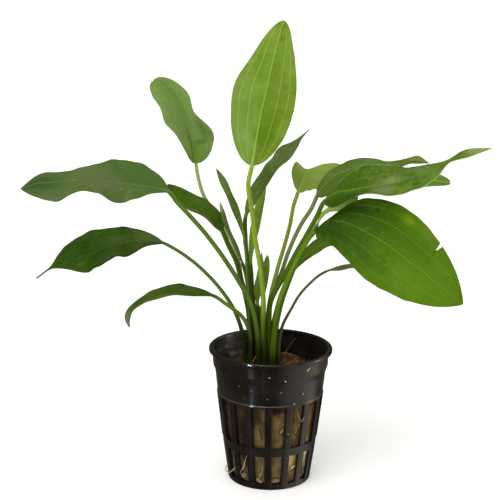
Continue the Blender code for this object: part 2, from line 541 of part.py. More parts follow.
def make_plug():
    """The rockwool: it fills the pot to its edge top and holds the crown in a pocket."""
    fit = WALL + GAP + FACET_SLACK
    wall = [(FOOT_RADIUS, FLOOR + GAP), (LOWER_RADII[0], LOWER_SLOTS[0]),
            (0.5 * (LOWER_RADII[1] + UPPER_RADII[0]), 0.5 * (LOWER_SLOTS[1] + UPPER_SLOTS[0])),
            (BAND_RADII[0], BAND_HEIGHTS[0])]
    levels = [(0.0, radius - fit, radius - fit, height) for radius, height in wall]
    levels += [(0.0, radius, radius, height) for radius, height in (PLUG_SHOULDER, PLUG_EDGE)]
    levels.append((0.5 * CROWN_MIDDLE, PLUG_MOUND[0], PLUG_MOUND[1], PLUG_MOUND_TOP - MOUND_ROUND))
    pocket_floor = CROWN_TOP - CROWN_DEPTH - GAP
    for room, height in ((POCKET_ROOM + POCKET_LIP, PLUG_MOUND_TOP),
                         (POCKET_ROOM, PLUG_MOUND_TOP - POCKET_BEVEL), (POCKET_ROOM, pocket_floor)):
        levels.append((CROWN_MIDDLE, CROWN_HALF_SIZE[0] + room, CROWN_HALF_SIZE[1] + room, height))
    return make_turned("rockwool", levels, "rockwool")


def make_crown():
    """The rhizome: a short rounded stub under the stalks."""
    levels = []
    for share, height in CROWN_SHAPE:
        levels.append((CROWN_MIDDLE, share * CROWN_HALF_SIZE[0], share * CROWN_HALF_SIZE[1],
                       mix(CROWN_TOP - CROWN_DEPTH, CROWN_TOP, height)))
    return make_turned("crown", levels, "rhizome")


def main():
    clear_scene()
    make_pot()
    make_plug()
    make_crown()
    for name, leaf in LEAVES.items():
        make_leaf(name, leaf)


main()
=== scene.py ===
"""Looks of the potted echinodorus: fine leaves, pot, rockwool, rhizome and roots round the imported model.

Lengths are in millimetres, and become metres when a mesh is made. The camera, the lights and the places that
materials read from the object are in metres. The front of the plant faces -Y.
"""
import math
import random

import bpy
import numpy as np
from mathutils import Matrix, Vector, noise


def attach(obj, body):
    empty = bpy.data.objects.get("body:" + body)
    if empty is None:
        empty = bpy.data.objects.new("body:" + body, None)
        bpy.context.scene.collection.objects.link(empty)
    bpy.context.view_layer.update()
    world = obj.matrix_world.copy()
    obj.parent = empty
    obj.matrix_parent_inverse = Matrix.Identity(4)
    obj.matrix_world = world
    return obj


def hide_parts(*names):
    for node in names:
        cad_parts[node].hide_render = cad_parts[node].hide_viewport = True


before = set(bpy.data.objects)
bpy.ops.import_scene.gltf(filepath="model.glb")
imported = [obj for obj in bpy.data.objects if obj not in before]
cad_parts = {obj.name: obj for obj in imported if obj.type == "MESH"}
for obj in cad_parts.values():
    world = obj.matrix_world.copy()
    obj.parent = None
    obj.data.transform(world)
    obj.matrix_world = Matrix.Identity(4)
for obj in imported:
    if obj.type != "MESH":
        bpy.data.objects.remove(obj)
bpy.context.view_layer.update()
MM = 0.001

# The leaves. Their guide points are as the model has them: foot is x, y of the stalk's foot; radii are
# the stalk's at its foot and at the blade; ends say how blunt the blade's base and tip are; tip is the
# radius of a drawn-out tip; stalk and rib are points of the centre line, up to the blade and along it; left
# and right are the margins beside the rib's inner points. slot is the leaf's material slot.
# look: the side that the front view shows, its darker and lighter green and its stalk's colour in sRGB, and
# how clearly the cross veins show; vein and edge, where it gives them, are the colours of the veins and of
# the margin, and the rest takes the place of what USUAL_LOOK says.
# marks: soft-edged patches, with their middle and half size as shares of the half width (negative to the
# left) and of the length, then softness, strength and colour.
# Some marks are painted light and shade; the leaves say which.
LEAVES = {
    # Tall leaf in the middle, seen from its pale underside
    "leaf_top": dict(
        foot=(-2.4, -3.6), radii=(1.1, 0.95), ends=(0.55, 0.6), slot="leaf_bright",
        stalk=[(-3.5, -4.5, 70.5), (-3.5, -6, 81.5), (-5, -7, 97), (-7.5, -8, 111), (-9, -8.5, 123.5),
            (-10.5, -8.5, 133.5)],
        rib=[(-9, -8.5, 141.5), (-8, -9.5, 148), (-6, -10.5, 161), (-3.5, -10, 173), (-1, -7.5, 184.5),
            (1.5, -4, 194.5), (3.5, -1, 201)],
        left=[(-15.5, -7, 148), (-18, -7, 161), (-16.5, -6, 175.5), (-9, -4.5, 187.5), (-4, -2.5, 195)],
        right=[(0, -6.5, 146.5), (6.5, -6.5, 158.5), (9, -6, 171), (8.5, -4.5, 183.5), (7, -2.5, 193)],
        look=dict(shows="under", dark=(112, 144, 22), light=(128, 158, 58), stalk=(156, 186, 50), cross=0.4,
            edge=(120, 150, 30), vein=(158, 200, 76), rib=1.0, veins=0.75, spacing=0.95, foot=0.85),
        # The first two marks are painted light and shade: the left half lighter, the right half darker.
        marks=[
            ((-0.75, 0.24), (0.5, 0.42), 1.0, 0.7, (130, 160, 66)),
            ((0.4, 0.18), (0.5, 0.26), 1.0, 0.6, (98, 136, 10)),
            ((0.8, 0.75), (0.35, 0.2), 0.9, 0.4, (138, 166, 78)),
            ((0.35, 0.6), (0.35, 0.16), 1.0, 0.4, (134, 162, 74)),
            ((-0.4, 0.65), (0.4, 0.2), 1.0, 0.4, (110, 142, 36)),
            ((0.0, 0.98), (1.4, 0.06), 1.0, 0.5, (100, 134, 20))]),
    # Upper left leaf with a waisted blade and a blunt tip
    "leaf_upper_left": dict(
        foot=(-8.0, 3.6), radii=(1.0, 0.8), ends=(0.5, 0.42), slot="leaf_mid",
        stalk=[(-9.5, 4.5, 71.5), (-13, 7, 88), (-15, 9, 97.5), (-19.5, 11, 108.5), (-25.5, 14, 117),
            (-30, 16, 123.5), (-32, 16.5, 129.5)],
        rib=[(-33.5, 17, 137.5), (-34.5, 17.5, 143.5), (-36, 18, 150.5), (-38.5, 19, 158), (-42.5, 21, 164),
            (-47, 24, 169.5), (-52, 27, 173)],
        left=[(-38, 14, 143.5), (-42, 14, 150.5), (-46.5, 15.5, 155), (-49, 18, 161.5), (-52.5, 22, 166)],
        right=[(-26.5, 13, 144.5), (-26, 12, 152.5), (-34, 14, 160.5), (-36.5, 16, 168), (-43, 21, 173)],
        look=dict(shows="upper", dark=(112, 142, 58), light=(124, 153, 80), stalk=(180, 194, 128),
            cross=0.22, veins=0.35, rib=0.7),
        marks=[
            ((0.48, 0.22), (0.42, 0.035), 0.9, 0.55, (54, 86, 22)),
            ((-0.11, 0.28), (0.14, 0.02), 0.8, 0.5, (66, 100, 30)),
            ((-0.5, 0.45), (0.5, 0.4), 1.0, 0.5, (110, 132, 84)),
            ((0.1, 0.06), (0.6, 0.12), 1.0, 0.6, (112, 146, 56)),
            ((-0.5, 0.18), (0.5, 0.16), 1.0, 0.55, (150, 178, 104)),
            ((0.65, 0.34), (0.4, 0.16), 1.0, 0.75, (84, 108, 44))]),
    # Long leaf to the left with a wavy lower margin
    "leaf_long_left": dict(
        foot=(-5.1, -3.7), radii=(1.1, 0.95), ends=(0.6, 0.85), slot="leaf_mid",
        stalk=[(-6.5, -5.5, 71.5), (-9, -7, 81.5), (-12, -8.5, 88), (-14.5, -9.5, 92.5), (-21, -11, 103),
            (-28, -13, 113), (-35, -14.5, 121.5), (-40, -15, 127)],
        rib=[(-43.5, -15.5, 131.5), (-49, -16.5, 133), (-56, -18, 134.5), (-64.5, -20, 136),
            (-72, -22, 137.5), (-79, -24, 137.5), (-87.5, -26, 137), (-95.5, -27, 136.5),
            (-102.5, -28, 134.5)],
        left=[(-49.5, -10, 139), (-56.5, -10, 142.5), (-65.5, -11.5, 144), (-72.5, -15, 143),
            (-79.5, -18, 141.5), (-88.5, -20, 140), (-96, -23, 139.5)],
        right=[(-49, -19.5, 131.5), (-56, -24, 130), (-64, -27.5, 129), (-72, -28, 133), (-78.5, -30, 134),
            (-87.5, -33, 130.5), (-95.5, -31, 131.5)],
        look=dict(shows="upper", dark=(74, 106, 40), light=(92, 114, 58), stalk=(102, 133, 32), cross=0.18,
            veins=0.25, gloss=0.14, rib=0.5, vein=(114, 136, 72)),
        # The first mark, a greyish patch over the middle, is painted sheen.
        marks=[
            ((0.1, 0.45), (0.9, 0.2), 1.0, 0.7, (98, 108, 72)),
            ((0.0, 0.92), (1.6, 0.34), 1.0, 0.95, (44, 82, 12)),
            ((-0.06, 0.65), (0.06, 0.012), 0.6, 0.9, (142, 146, 64)),
            ((0.03, 0.635), (0.05, 0.007), 0.6, 0.8, (122, 134, 60)),
            ((0.05, 0.35), (0.06, 0.01), 0.6, 0.7, (132, 142, 70)),
            ((0.33, 0.33), (0.07, 0.012), 0.6, 0.9, (138, 146, 66)),
            ((0.5, 0.27), (0.06, 0.01), 0.6, 0.7, (134, 142, 70)),
            ((-0.7, 0.45), (0.1, 0.02), 0.8, 0.4, (44, 76, 16))]),
    # Short dark leaf just behind the long one
    "leaf_short_dark": dict(
        foot=(-9.3, 1.2), radii=(1.0, 1.05), ends=(0.55, 0.6), slot="leaf_dark",
        stalk=[(-9.5, 1, 71.5), (-11, 1, 82), (-13.5, 1, 91), (-15.5, 1.5, 98), (-18.5, 2, 104)],
        rib=[(-21.5, 2.5, 111), (-25, 3, 117.5), (-30, 4, 121.5), (-35, 5, 124), (-40, 6, 126.5),
            (-45.5, 7, 130)],
        left=[(-22.5, 6.5, 118), (-28, 10, 122.5), (-33.5, 11, 125), (-39, 10, 128)],
        right=[(-28.5, 1, 116.5), (-33, -1, 119.5), (-38, 0, 121.5), (-41.5, 3, 124.5)],
        look=dict(shows="upper", dark=(48, 80, 6), light=(72, 104, 18), stalk=(76, 104, 26), cross=0.16,
            veins=0.12, edge=(128, 122, 74), rib=0.12, vein=(100, 130, 50), margin=0.7),
        marks=[
            ((0.85, 0.35), (0.2, 0.3), 0.7, 0.6, (104, 104, 60)),
            ((0.0, 0.5), (0.8, 0.2), 1.0, 0.5, (84, 112, 24)),
            ((0.0, 0.95), (1.4, 0.1), 1.0, 0.7, (50, 70, 30))]),
    # Low left leaf with a thin drip tip
    "leaf_low_left": dict(
        foot=(-10.4, -1.2), radii=(0.9, 0.75), ends=(0.75, 1.0), tip=0.38, slot="leaf_dark",
        stalk=[(-13, -1, 68.5), (-16.5, 0.5, 77), (-21, 2, 83.5), (-28.5, 4.5, 91.5), (-35.5, 7, 97),
            (-42, 8.5, 101)],
        rib=[(-47.5, 10, 103.5), (-54.5, 11, 104.5), (-62, 12, 103.5), (-70, 13, 101.5), (-78, 14, 98),
            (-86.5, 14.5, 94.5), (-93, 14, 92), (-97.5, 13, 90.5), (-103.5, 11, 86.5)],
        left=[(-55, 14, 107.5), (-63, 18, 108.5), (-72.5, 21, 107.5), (-82.5, 22, 105), (-91, 21, 99.5),
            (-95, 17, 95.5), (-98, 13.5, 91)],
        right=[(-54, 8, 102.5), (-61.5, 5, 99), (-68.5, 4, 98), (-75.5, 5, 93.5), (-83, 7, 90.5),
            (-91.5, 11, 91), (-97, 12.5, 90.5)],
        look=dict(shows="upper", dark=(42, 72, 4), light=(56, 86, 16), stalk=(104, 132, 50), cross=0.2,
            veins=0.25, rib=0.35, vein=(96, 122, 64), gloss=0.04),
        marks=[
            ((0.48, 0.66), (0.2, 0.05), 0.9, 0.6, (84, 110, 40)),
            ((-0.3, 0.1), (1.5, 0.22), 1.0, 0.85, (94, 116, 52)),
            ((-0.2, 0.35), (0.4, 0.12), 1.0, 0.5, (84, 104, 56)),
            ((-0.5, 0.58), (0.35, 0.1), 1.0, 0.6, (36, 64, 0)),
            ((0.0, 0.97), (1.6, 0.09), 0.5, 0.9, (104, 98, 68)),
            ((0.75, 0.4), (0.3, 0.2), 0.9, 0.6, (76, 92, 46))]),
    # Narrow leaf that arches forward and curls down at its tip
    "leaf_curled": dict(
        foot=(-9.0, -3.6), radii=(0.95, 0.8), ends=(0.7, 0.6), slot="leaf_mid",
        stalk=[(-9, -4.5, 66.5), (-10, -5.5, 70.5), (-13, -7.5, 76), (-16, -9, 79), (-20, -11, 82.5)],
        rib=[(-24.5, -14, 86.5), (-33.5, -18, 89.5), (-42, -21, 90.5), (-48.5, -24, 89.5), (-55, -27, 87),
            (-58.5, -29, 83.5), (-60, -30, 80), (-59, -30, 77)],
        left=[(-34.5, -13, 90.5), (-42, -14, 91.5), (-50, -17, 89.5), (-56.5, -22, 86.5), (-60.5, -26, 83),
            (-61, -28, 80)],
        right=[(-33.5, -20.5, 88), (-41.5, -25, 89.5), (-48, -28, 88.5), (-53.5, -30, 87),
            (-57.5, -31.5, 84), (-58.5, -31.5, 80.5)],
        look=dict(shows="upper", dark=(52, 82, 12), light=(72, 96, 28), stalk=(110, 142, 44), cross=0.1,
            veins=0.15, rib=0.2, vein=(100, 128, 60)),
        marks=[
            ((0.8, 0.6), (0.35, 0.4), 0.9, 0.55, (112, 118, 66)),
            ((0.0, 0.96), (1.5, 0.2), 0.9, 0.9, (122, 134, 92))]),
    # Young leaf, still half rolled
    "leaf_rolled": dict(
        foot=(-5.6, -1.2), radii=(1.0, 0.85), ends=(0.9, 0.8), slot="leaf_dark",
        stalk=[(-7, -2, 72.5), (-9.5, -3.5, 85.5), (-10.5, -3.5, 96), (-11, -3.5, 103)],
        rib=[(-12, -4, 109.5), (-13.5, -4.5, 117), (-16, -5, 122.5), (-18.5, -6, 129), (-21, -6.5, 134.5),
            (-24, -7.5, 140)],
        left=[(-15, -3, 116), (-17.5, -3, 121.5), (-20, -3.5, 128), (-22.5, -5, 133.5)],
        right=[(-13, -3, 117), (-14.5, -2.5, 122.5), (-17.5, -3, 129), (-20, -4.5, 135)],
        look=dict(shows="under", dark=(84, 114, 36), light=(106, 132, 56), stalk=(74, 100, 26), cross=0.0,
            rib=0.3)),
    # Young spear with a pale tip
    "leaf_spear_pale": dict(
        foot=(-8.0, -1.2), radii=(0.9, 0.8), ends=(0.9, 0.9), slot="leaf_dark",
        stalk=[(-9, -1, 73), (-10, -1, 84.5), (-11.5, -1.5, 94)],
        rib=[(-13, -2, 98.5), (-15.5, -2, 104.5), (-17.5, -2.5, 110), (-20.5, -3, 117.5), (-22, -3, 121.5),
            (-22.5, -3.5, 125)],
        left=[(-16, -1, 104), (-18.5, -1, 109.5), (-21.5, -2, 117), (-22.5, -2.5, 121.5)],
        right=[(-14.5, -1, 104.5), (-17, -1, 110), (-19.5, -2, 117.5), (-21, -2.5, 122)],
        look=dict(shows="under", dark=(78, 98, 40), light=(100, 116, 60), stalk=(72, 98, 30), cross=0.0,
            rib=0.2),
        marks=[
            ((0.0, 0.92), (1.4, 0.14), 0.8, 0.85, (176, 180, 134))]),
    # Dark leaf behind the tall one, its tip drawn out to the right
    "leaf_behind_top": dict(
        foot=(-6.8, 1.5), radii=(1.0, 0.95), ends=(0.7, 1.1), tip=0.25, slot="leaf_dark",
        stalk=[(-7.5, 2.5, 72), (-9, 3.5, 84.5), (-10.5, 4.5, 96.5), (-11.5, 6, 107.5)],
        rib=[(-11.5, 7.5, 116.5), (-8, 9, 124), (-3.5, 11, 131), (1, 13.5, 137), (6, 16, 143),
            (10, 18.5, 146.5), (13, 20, 149.5), (16, 22, 152.5)],
        left=[(-10, 13, 126.5), (-6.5, 18, 132), (-1, 21.5, 139), (3.5, 22.5, 144.5), (8.5, 21.5, 147),
            (12, 20.5, 149.5)],
        right=[(-7, 7.5, 122.5), (-2, 8, 130.5), (2.5, 10, 137), (8, 13, 141.5), (11, 17, 145.5),
            (13, 19.5, 149)],
        look=dict(shows="upper", dark=(80, 108, 34), light=(114, 134, 68), stalk=(72, 100, 24), cross=0.08,
            veins=0.3, rib=0.4),
        marks=[
            ((0.0, 0.75), (1.2, 0.2), 1.0, 0.6, (104, 124, 68)),
            ((0.0, 0.99), (1.4, 0.05), 0.5, 0.6, (90, 92, 60))]),
    # Narrow leaf at the back
    "leaf_narrow_back": dict(
        foot=(-5.6, 3.6), radii=(0.85, 0.7), ends=(0.9, 1.0), slot="leaf_mid",
        stalk=[(-6.5, 4.5, 70.5), (-8, 7, 81), (-8.5, 9.5, 89.5)],
        rib=[(-9, 11, 95), (-8.5, 13, 102), (-7, 15.5, 109.5), (-5.5, 18, 117), (-4, 20.5, 122.5),
            (-2.5, 23, 130.5)],
        left=[(-10, 14, 101.5), (-9.5, 18, 108.5), (-8, 21, 116), (-6, 23, 122.5)],
        right=[(-7.5, 12, 102), (-5.5, 14, 109), (-4, 16.5, 117), (-3, 19.5, 122.5)],
        look=dict(shows="upper", dark=(110, 142, 42), light=(126, 156, 54), stalk=(82, 110, 30), cross=0.06,
            veins=0.3, rib=0.5)),
    # Two young leaves in the heart of the rosette
    "leaf_young_right": dict(
        foot=(-3.2, -1.2), radii=(0.9, 0.8), ends=(0.9, 0.6), slot="leaf_dark",
        stalk=[(-4, -1, 70), (-4, -1.5, 78)],
        rib=[(-3.5, -2.5, 82.5), (-3, -3, 88.5), (-2.5, -3.5, 95), (-2, -4, 102)],
        left=[(-4, -2, 88), (-4, -2.5, 95)],
        right=[(-2, -2, 88), (-1, -2.5, 95)],
        look=dict(shows="under", dark=(94, 120, 40), light=(114, 138, 52), stalk=(74, 100, 24), cross=0.0,
            rib=0.2)),
    "leaf_young_mid": dict(
        foot=(-4.3, 1.2), radii=(0.9, 0.9), ends=(0.9, 0.9), slot="leaf_dark",
        stalk=[(-5.5, 1, 69.5), (-5.5, 0.5, 75)],
        rib=[(-6, 1, 79), (-6, 1, 84), (-5.5, 0.5, 92), (-4.5, 0, 98), (-4.5, 0, 102.5)],
        left=[(-7.5, 2.5, 83.5), (-6.5, 2, 91.5), (-5.5, 1, 97.5)],
        right=[(-4.5, 2.5, 83.5), (-3.5, 2, 91.5), (-3.5, 1, 97.5)],
        look=dict(shows="under", dark=(116, 148, 48), light=(150, 178, 70), stalk=(84, 110, 28), cross=0.0,
            rib=0.3)),
    # Leaf that bends away to the back, its pale underside to the front
    "leaf_pale_back": dict(
        foot=(-2.0, 1.2), radii=(1.0, 0.85), ends=(0.5, 0.45), slot="leaf_pale",
        stalk=[(-1.5, 2, 70.5), (-0.5, 3.5, 80), (0.5, 4.5, 85), (3, 7.5, 94.5), (5.5, 10.5, 102.5),
            (8, 13, 112), (9.5, 15, 120)],
        rib=[(11.5, 16, 126), (12.5, 17.5, 128.5), (14, 21, 131.5), (15, 25, 132.5), (17, 29, 132.5),
            (21.5, 35, 132), (33, 41, 130.5), (49.5, 44, 128.5), (65.5, 44, 127), (75, 43, 126),
            (81.5, 41, 125.5)],
        left=[(9, 18.5, 130), (8.5, 22, 133.5), (10.5, 27.5, 137), (14.5, 33, 133), (22, 43, 133),
            (33.5, 50, 132.5), (50.5, 53, 130.5), (66.5, 51, 129.5), (76, 45.5, 129)],
        right=[(14.5, 16.5, 126), (16.5, 17, 126), (19, 18.5, 126.5), (21.5, 21.5, 126), (26.5, 27, 125.5),
            (35, 33, 125), (50, 36, 124), (64.5, 38, 123.5), (75.5, 41, 124)],
        look=dict(shows="under", dark=(138, 168, 56), light=(148, 172, 74), stalk=(160, 184, 74),
            cross=0.12, veins=0.5, vein=(170, 192, 96)),
        marks=[
            ((0.0, 0.95), (1.6, 0.16), 0.5, 0.85, (92, 122, 48)),
            ((-0.6, 0.1), (0.5, 0.25), 1.0, 0.6, (146, 174, 76))]),
    # Upper right leaf, behind the long one
    "leaf_upper_right": dict(
        foot=(-3.2, 3.6), radii=(0.9, 0.95), ends=(0.55, 0.9), slot="leaf_dark",
        stalk=[(-1.5, 5.5, 71), (0.5, 7.5, 82), (4, 8.5, 90), (7.5, 8.5, 101), (13, 8.5, 113.5),
            (17, 8.5, 120)],
        rib=[(19.5, 8, 126), (22.5, 8, 130.5), (27, 9, 134.5), (33.5, 11, 137), (41.5, 13, 138.5),
            (52, 15, 138.5), (59.5, 15.5, 139.5), (64.5, 15.5, 139.5), (68, 15.5, 139)],
        left=[(20.5, 11, 131), (25, 15, 135.5), (32.5, 18, 139), (41, 20, 140.5), (52, 20, 139),
            (60, 18.5, 141), (64.5, 17.5, 141.5)],
        right=[(23.5, 4, 126.5), (30.5, 3, 129), (36.5, 3.5, 131.5), (44, 5.5, 133.5), (52.5, 10, 136.5),
            (60, 13.5, 139), (64.5, 14, 139)],
        look=dict(shows="upper", dark=(84, 112, 36), light=(104, 128, 60), stalk=(146, 156, 96), cross=0.22,
            veins=0.35, rib=0.5),
        # The three marks at the tip paint its rolled end: a painted highlight on its rim, painted shade
        # inside.
        marks=[
            ((-0.3, 0.9), (0.9, 0.12), 0.7, 0.8, (124, 142, 56)),
            ((0.2, 0.88), (0.4, 0.12), 0.6, 0.85, (48, 62, 14)),
            ((0.8, 0.89), (0.25, 0.06), 0.7, 0.8, (124, 140, 56)),
            ((-0.3, 0.1), (0.9, 0.12), 1.0, 0.4, (96, 122, 50))]),
    # Long leaf to the right: folded at its base, twisted to a neck before its tip
    "leaf_long_right": dict(
        foot=(-0.6, -1.2), radii=(1.2, 1.05), ends=(0.6, 0.85), slot="leaf_mid",
        stalk=[(-1, -2, 73.5), (-0.5, -2.5, 80.5), (1.5, -2.5, 85.5), (5.5, -3, 93), (9.5, -3.5, 101.5),
            (14, -4, 110), (18.5, -5, 119)],
        rib=[(22, -6, 126.5), (26, -7, 130), (32, -9, 131.5), (39.5, -11.5, 133.5), (48.5, -13.5, 135.5),
            (57, -15, 138.5), (64.5, -15.5, 141.5), (72, -15.5, 145.5), (80.5, -14.5, 149),
            (90, -12.5, 150.5)],
        left=[(26, -1.5, 131), (31, 1, 136), (38.5, 0, 140.5), (48, -3.5, 141.5), (56.5, -8, 141.5),
            (63.5, -12.5, 143.5), (71.5, -15, 146), (79.5, -12.5, 150)],
        right=[(24.5, -6, 123.5), (30.5, -8, 126.5), (38, -12, 130.5), (48, -20, 131.5), (58, -22.5, 134.5),
            (66.5, -20, 139), (72.5, -16.5, 145), (81, -16, 147.5)],
        look=dict(shows="upper", dark=(68, 102, 12), light=(104, 132, 50), stalk=(90, 124, 20), cross=0.18,
            veins=0.2, edge=(158, 180, 108), rib=0.45, margin=0.95, gloss=0.04),
        # First mark: painted shade on the folded lower half at the base; greyish middle patches: painted
        # sheen.
        marks=[
            ((0.75, 0.14), (0.75, 0.16), 0.6, 0.9, (57, 93, 0)),
            ((0.1, 0.36), (0.6, 0.13), 1.0, 0.65, (114, 134, 74)),
            ((-0.1, 0.41), (0.3, 0.1), 1.0, 0.6, (146, 160, 108)),
            ((0.6, 0.36), (0.45, 0.09), 1.0, 0.55, (142, 154, 108)),
            ((-0.1, 0.6), (0.9, 0.12), 1.0, 0.4, (118, 140, 68)),
            ((0.0, 0.93), (1.6, 0.12), 0.7, 0.85, (158, 168, 104)),
            ((-0.6, 0.55), (0.5, 0.2), 1.0, 0.45, (116, 138, 76))]),
    # Small pale leaf between the two big ones on the right
    "leaf_strip": dict(
        foot=(-0.8, 3.6), radii=(0.85, 0.75), ends=(0.8, 0.6), slot="leaf_pale",
        stalk=[(1.5, 4.5, 71.5), (4.5, 5, 83), (9, 5.5, 94), (15, 5.5, 105)],
        rib=[(20, 5, 114.5), (21.5, 5, 117.5), (24, 5, 119.5), (27.5, 5.5, 121), (32, 6, 123),
            (37, 7, 125.5)],
        left=[(20.5, 4.5, 118), (23.5, 6.5, 120.5), (27, 8.5, 122), (31, 9.5, 124)],
        right=[(22, 3.5, 117.5), (24.5, 3, 119.5), (28.5, 2.5, 120), (33, 3.5, 121.5)],
        look=dict(shows="under", dark=(150, 184, 72), light=(176, 200, 108), stalk=(96, 126, 30),
            cross=0.1)),
    # Big leaf at the lower right, with a short tear in its upper margin
    "leaf_big_right": dict(
        foot=(0.6, -3.6), radii=(1.15, 1.0), ends=(0.45, 0.8), torn=True, slot="leaf_mid",
        stalk=[(1.5, -4, 68.5), (2, -5, 75), (3.5, -6, 82.5), (7.5, -7.5, 94.5), (11, -9, 103),
            (14.5, -11, 110)],
        rib=[(18.5, -15, 116), (22.5, -16.5, 119.5), (29, -19, 120), (37, -23, 117.5), (45.5, -28.5, 113.5),
            (54, -34, 108), (63, -39, 102), (70.5, -42.5, 96.5), (76, -44, 92.5)],
        left=[(23, -13, 120), (31.5, -10.5, 126), (42, -13, 129), (54, -19, 126.5), (63, -26, 120),
            (70, -34.5, 111), (74, -41, 102.5)],
        right=[(20, -19, 112.5), (24, -24, 111.5), (30, -29, 106.5), (37.5, -36, 100), (46.5, -41, 96),
            (55.5, -44, 93), (66.5, -45, 91.5)],
        look=dict(shows="upper", dark=(42, 74, 0), light=(80, 118, 10), stalk=(112, 150, 28), cross=0.85,
            to_tip=0.5, edge=(104, 134, 40), vein=(112, 150, 46), gloss=0.03, veins=0.5, rib=0.6,
            spacing=1.15, base=0.05),
        marks=[
            ((-0.6, 0.16), (0.95, 0.44), 0.9, 0.95, (22, 48, 0)),
            ((0.45, 0.16), (1.1, 0.34), 1.0, 0.9, (42, 70, 10)),
            ((0.35, 0.34), (0.8, 0.16), 1.0, 0.45, (58, 92, 24)),
            ((0.6, 0.42), (0.3, 0.12), 0.9, 0.4, (50, 84, 12)),
            ((-0.3, 0.45), (0.5, 0.35), 1.0, 0.5, (58, 94, 8)),
            ((0.5, 0.72), (0.9, 0.4), 1.0, 0.4, (108, 146, 30)),
            ((-0.8, 0.505), (0.22, 0.07), 1.1, 0.6, (132, 160, 20)),
            ((0.48, 0.58), (0.05, 0.014), 0.8, 0.5, (116, 140, 40)),
            ((0.0, 0.88), (1.2, 0.2), 1.0, 0.45, (100, 136, 24)),
            ((-0.95, 0.62), (0.3, 0.1), 1.0, 0.5, (110, 142, 44))]),
    # Leaf mostly hidden behind the big one
    "leaf_behind_big": dict(
        foot=(1.0, 1.2), radii=(1.0, 0.9), ends=(0.7, 0.8), slot="leaf_dark",
        stalk=[(2, 1, 65.5), (3, 1, 72.5), (4.5, 1, 79.5), (7, 0.5, 87.5)],
        rib=[(9.5, 0.5, 94), (13.5, 1, 99), (18, 2.5, 103), (24, 5, 106.5), (31.5, 8, 108.5),
            (39.5, 11, 108)],
        left=[(12, 2.5, 100.5), (16.5, 6.5, 104.5), (22, 12, 107.5), (31, 16, 111.5)],
        right=[(14, -1.5, 98.5), (19.5, -2, 102.5), (25.5, -0.5, 105.5), (33.5, 3, 105.5)],
        look=dict(shows="upper", dark=(72, 108, 12), light=(92, 126, 28), stalk=(80, 116, 16), cross=0.08)),
    # Thin arching leaf to the right
    "leaf_thin_right": dict(
        foot=(3.2, 0.6), radii=(0.7, 0.6), ends=(0.9, 0.8), slot="leaf_dark",
        stalk=[(4, 2.5, 64), (5, 3.5, 68), (9, 6, 75.5), (12.5, 8.5, 81), (17, 11, 85.5), (21.5, 13, 89)],
        rib=[(25, 14.5, 90.5), (30.5, 16.5, 91.5), (36.5, 18, 92), (43, 19, 91), (50.5, 20, 88.5)],
        left=[(30.5, 18, 92), (37, 20.5, 92.5), (44.5, 22, 92.5)],
        right=[(30.5, 15, 90.5), (36, 15.5, 91.5), (42.5, 16, 89)],
        look=dict(shows="upper", dark=(128, 132, 90), light=(154, 156, 114), stalk=(124, 132, 76),
            cross=0.0, rib=0.2),
        marks=[
            ((0.0, 0.3), (1.2, 0.3), 1.0, 0.5, (116, 120, 78))]),
}

# Gloss; how clearly the rib and the long veins show, and what is left of that at the blade's base; the cross
# veins' spacing; how much lighter the blade gets towards its tip; how clearly its margin shows; and how
# strongly painted shade darkens the stalk's foot
USUAL_LOOK = dict(gloss=0.07, rib=0.8, veins=0.6, base=1.0, spacing=1.35, to_tip=0.1, margin=0.45,
                  foot=0.25)

# Camera: at the photograph's viewing angle
CAMERA_PLACE = (-0.00948, -0.5642, 0.2412)
CAMERA_PITCH = 13.75
CAMERA_ROLL = 0.59
FOCAL_PIXELS = 1351.2
IMAGE_PIXELS = 500.0
SENSOR = 36.0

# Leaf shape
STALK_FOOT = 51.7
FOOT_DEPTH = 1.0
FOOT_FLARE = 0.45
FLARE_LENGTH = 12.0
STALK_STEP = 1.6
BLADE_STEP = 0.65
END_CROWDING = 0.45
BLADE_TAPER = 0.8
TIP_RADIUS = 0.12
HALF_THICKNESS = 0.17
MARGIN_THICKNESS = 0.05
MARGIN_ROUND = 0.06
STALK_TOP = 0.92
RIB_PROUD = (0.16, 0.42)
RIB_WIDTH = (0.1, 0.2)
CHANNEL_DEPTH = 0.16
CHANNEL_WIDTH = 0.55
VEIN_PLACES = (0.41, 0.735)
VEIN_DRIFT = 0.9
VEIN_PROUD = 0.11
VEIN_SUNK = 0.05
VEIN_WIDTH = 0.28
BOW = 0.05
RIPPLE = 0.3
RIPPLE_LENGTHS = (1.9, 1.05)
PHASE_STEP = 1.7
BROAD_COLUMNS = (0.0, 0.025, 0.06, 0.11, 0.18, 0.27, 0.35, 0.385, 0.41, 0.435, 0.48, 0.56, 0.65, 0.71,
                 0.735, 0.76, 0.81, 0.88, 0.94, 0.975, 1.0)
NARROW_COLUMNS = (0.0, 0.06, 0.14, 0.26, 0.41, 0.6, 0.8, 0.94, 1.0)
BROAD_REACH = 5.0
NUDGE = 0.001

# Half widths between which a blade's channel, its veins and its ripples set in
CHANNEL_REACH = (1.5, 4.0)
VEINS_REACH = (2.5, 6.0)
RIPPLE_REACH = (3.0, 10.0)

# The tear in one leaf: its sides and bottom as shares of the blade's length, its depth as a share of the
# half width, and the rings that are added there
TEAR_SIDES = (0.7075, 0.727)
TEAR_BOTTOM = 0.7095
TEAR_DEPTH = 0.27
TEAR_MARGIN = 0.002
TEAR_RINGS = 25


def length(vectors):
    """Length of each vector, as a column."""
    return np.linalg.norm(vectors, axis=-1, keepdims=True)


def unit(vectors):
    return vectors / length(vectors)


def dot(first, second):
    return (first * second).sum(-1, keepdims=True)


def mix(first, second, share):
    return first + (second - first) * share


def step(value, low, high):
    """0 below low, 1 above high and smooth between."""
    s = np.clip((value - low) / (high - low), 0.0, 1.0)
    return s * s * (3 - 2 * s)


def bell(value, width):
    return np.exp(-(value / width) ** 2)


def lumps(point, sizes):
    """How far a rough face stands out at a point, from lumps whose sizes and heights are given."""
    return sum(height * noise.noise(Vector(point) / size) for size, height in sizes)


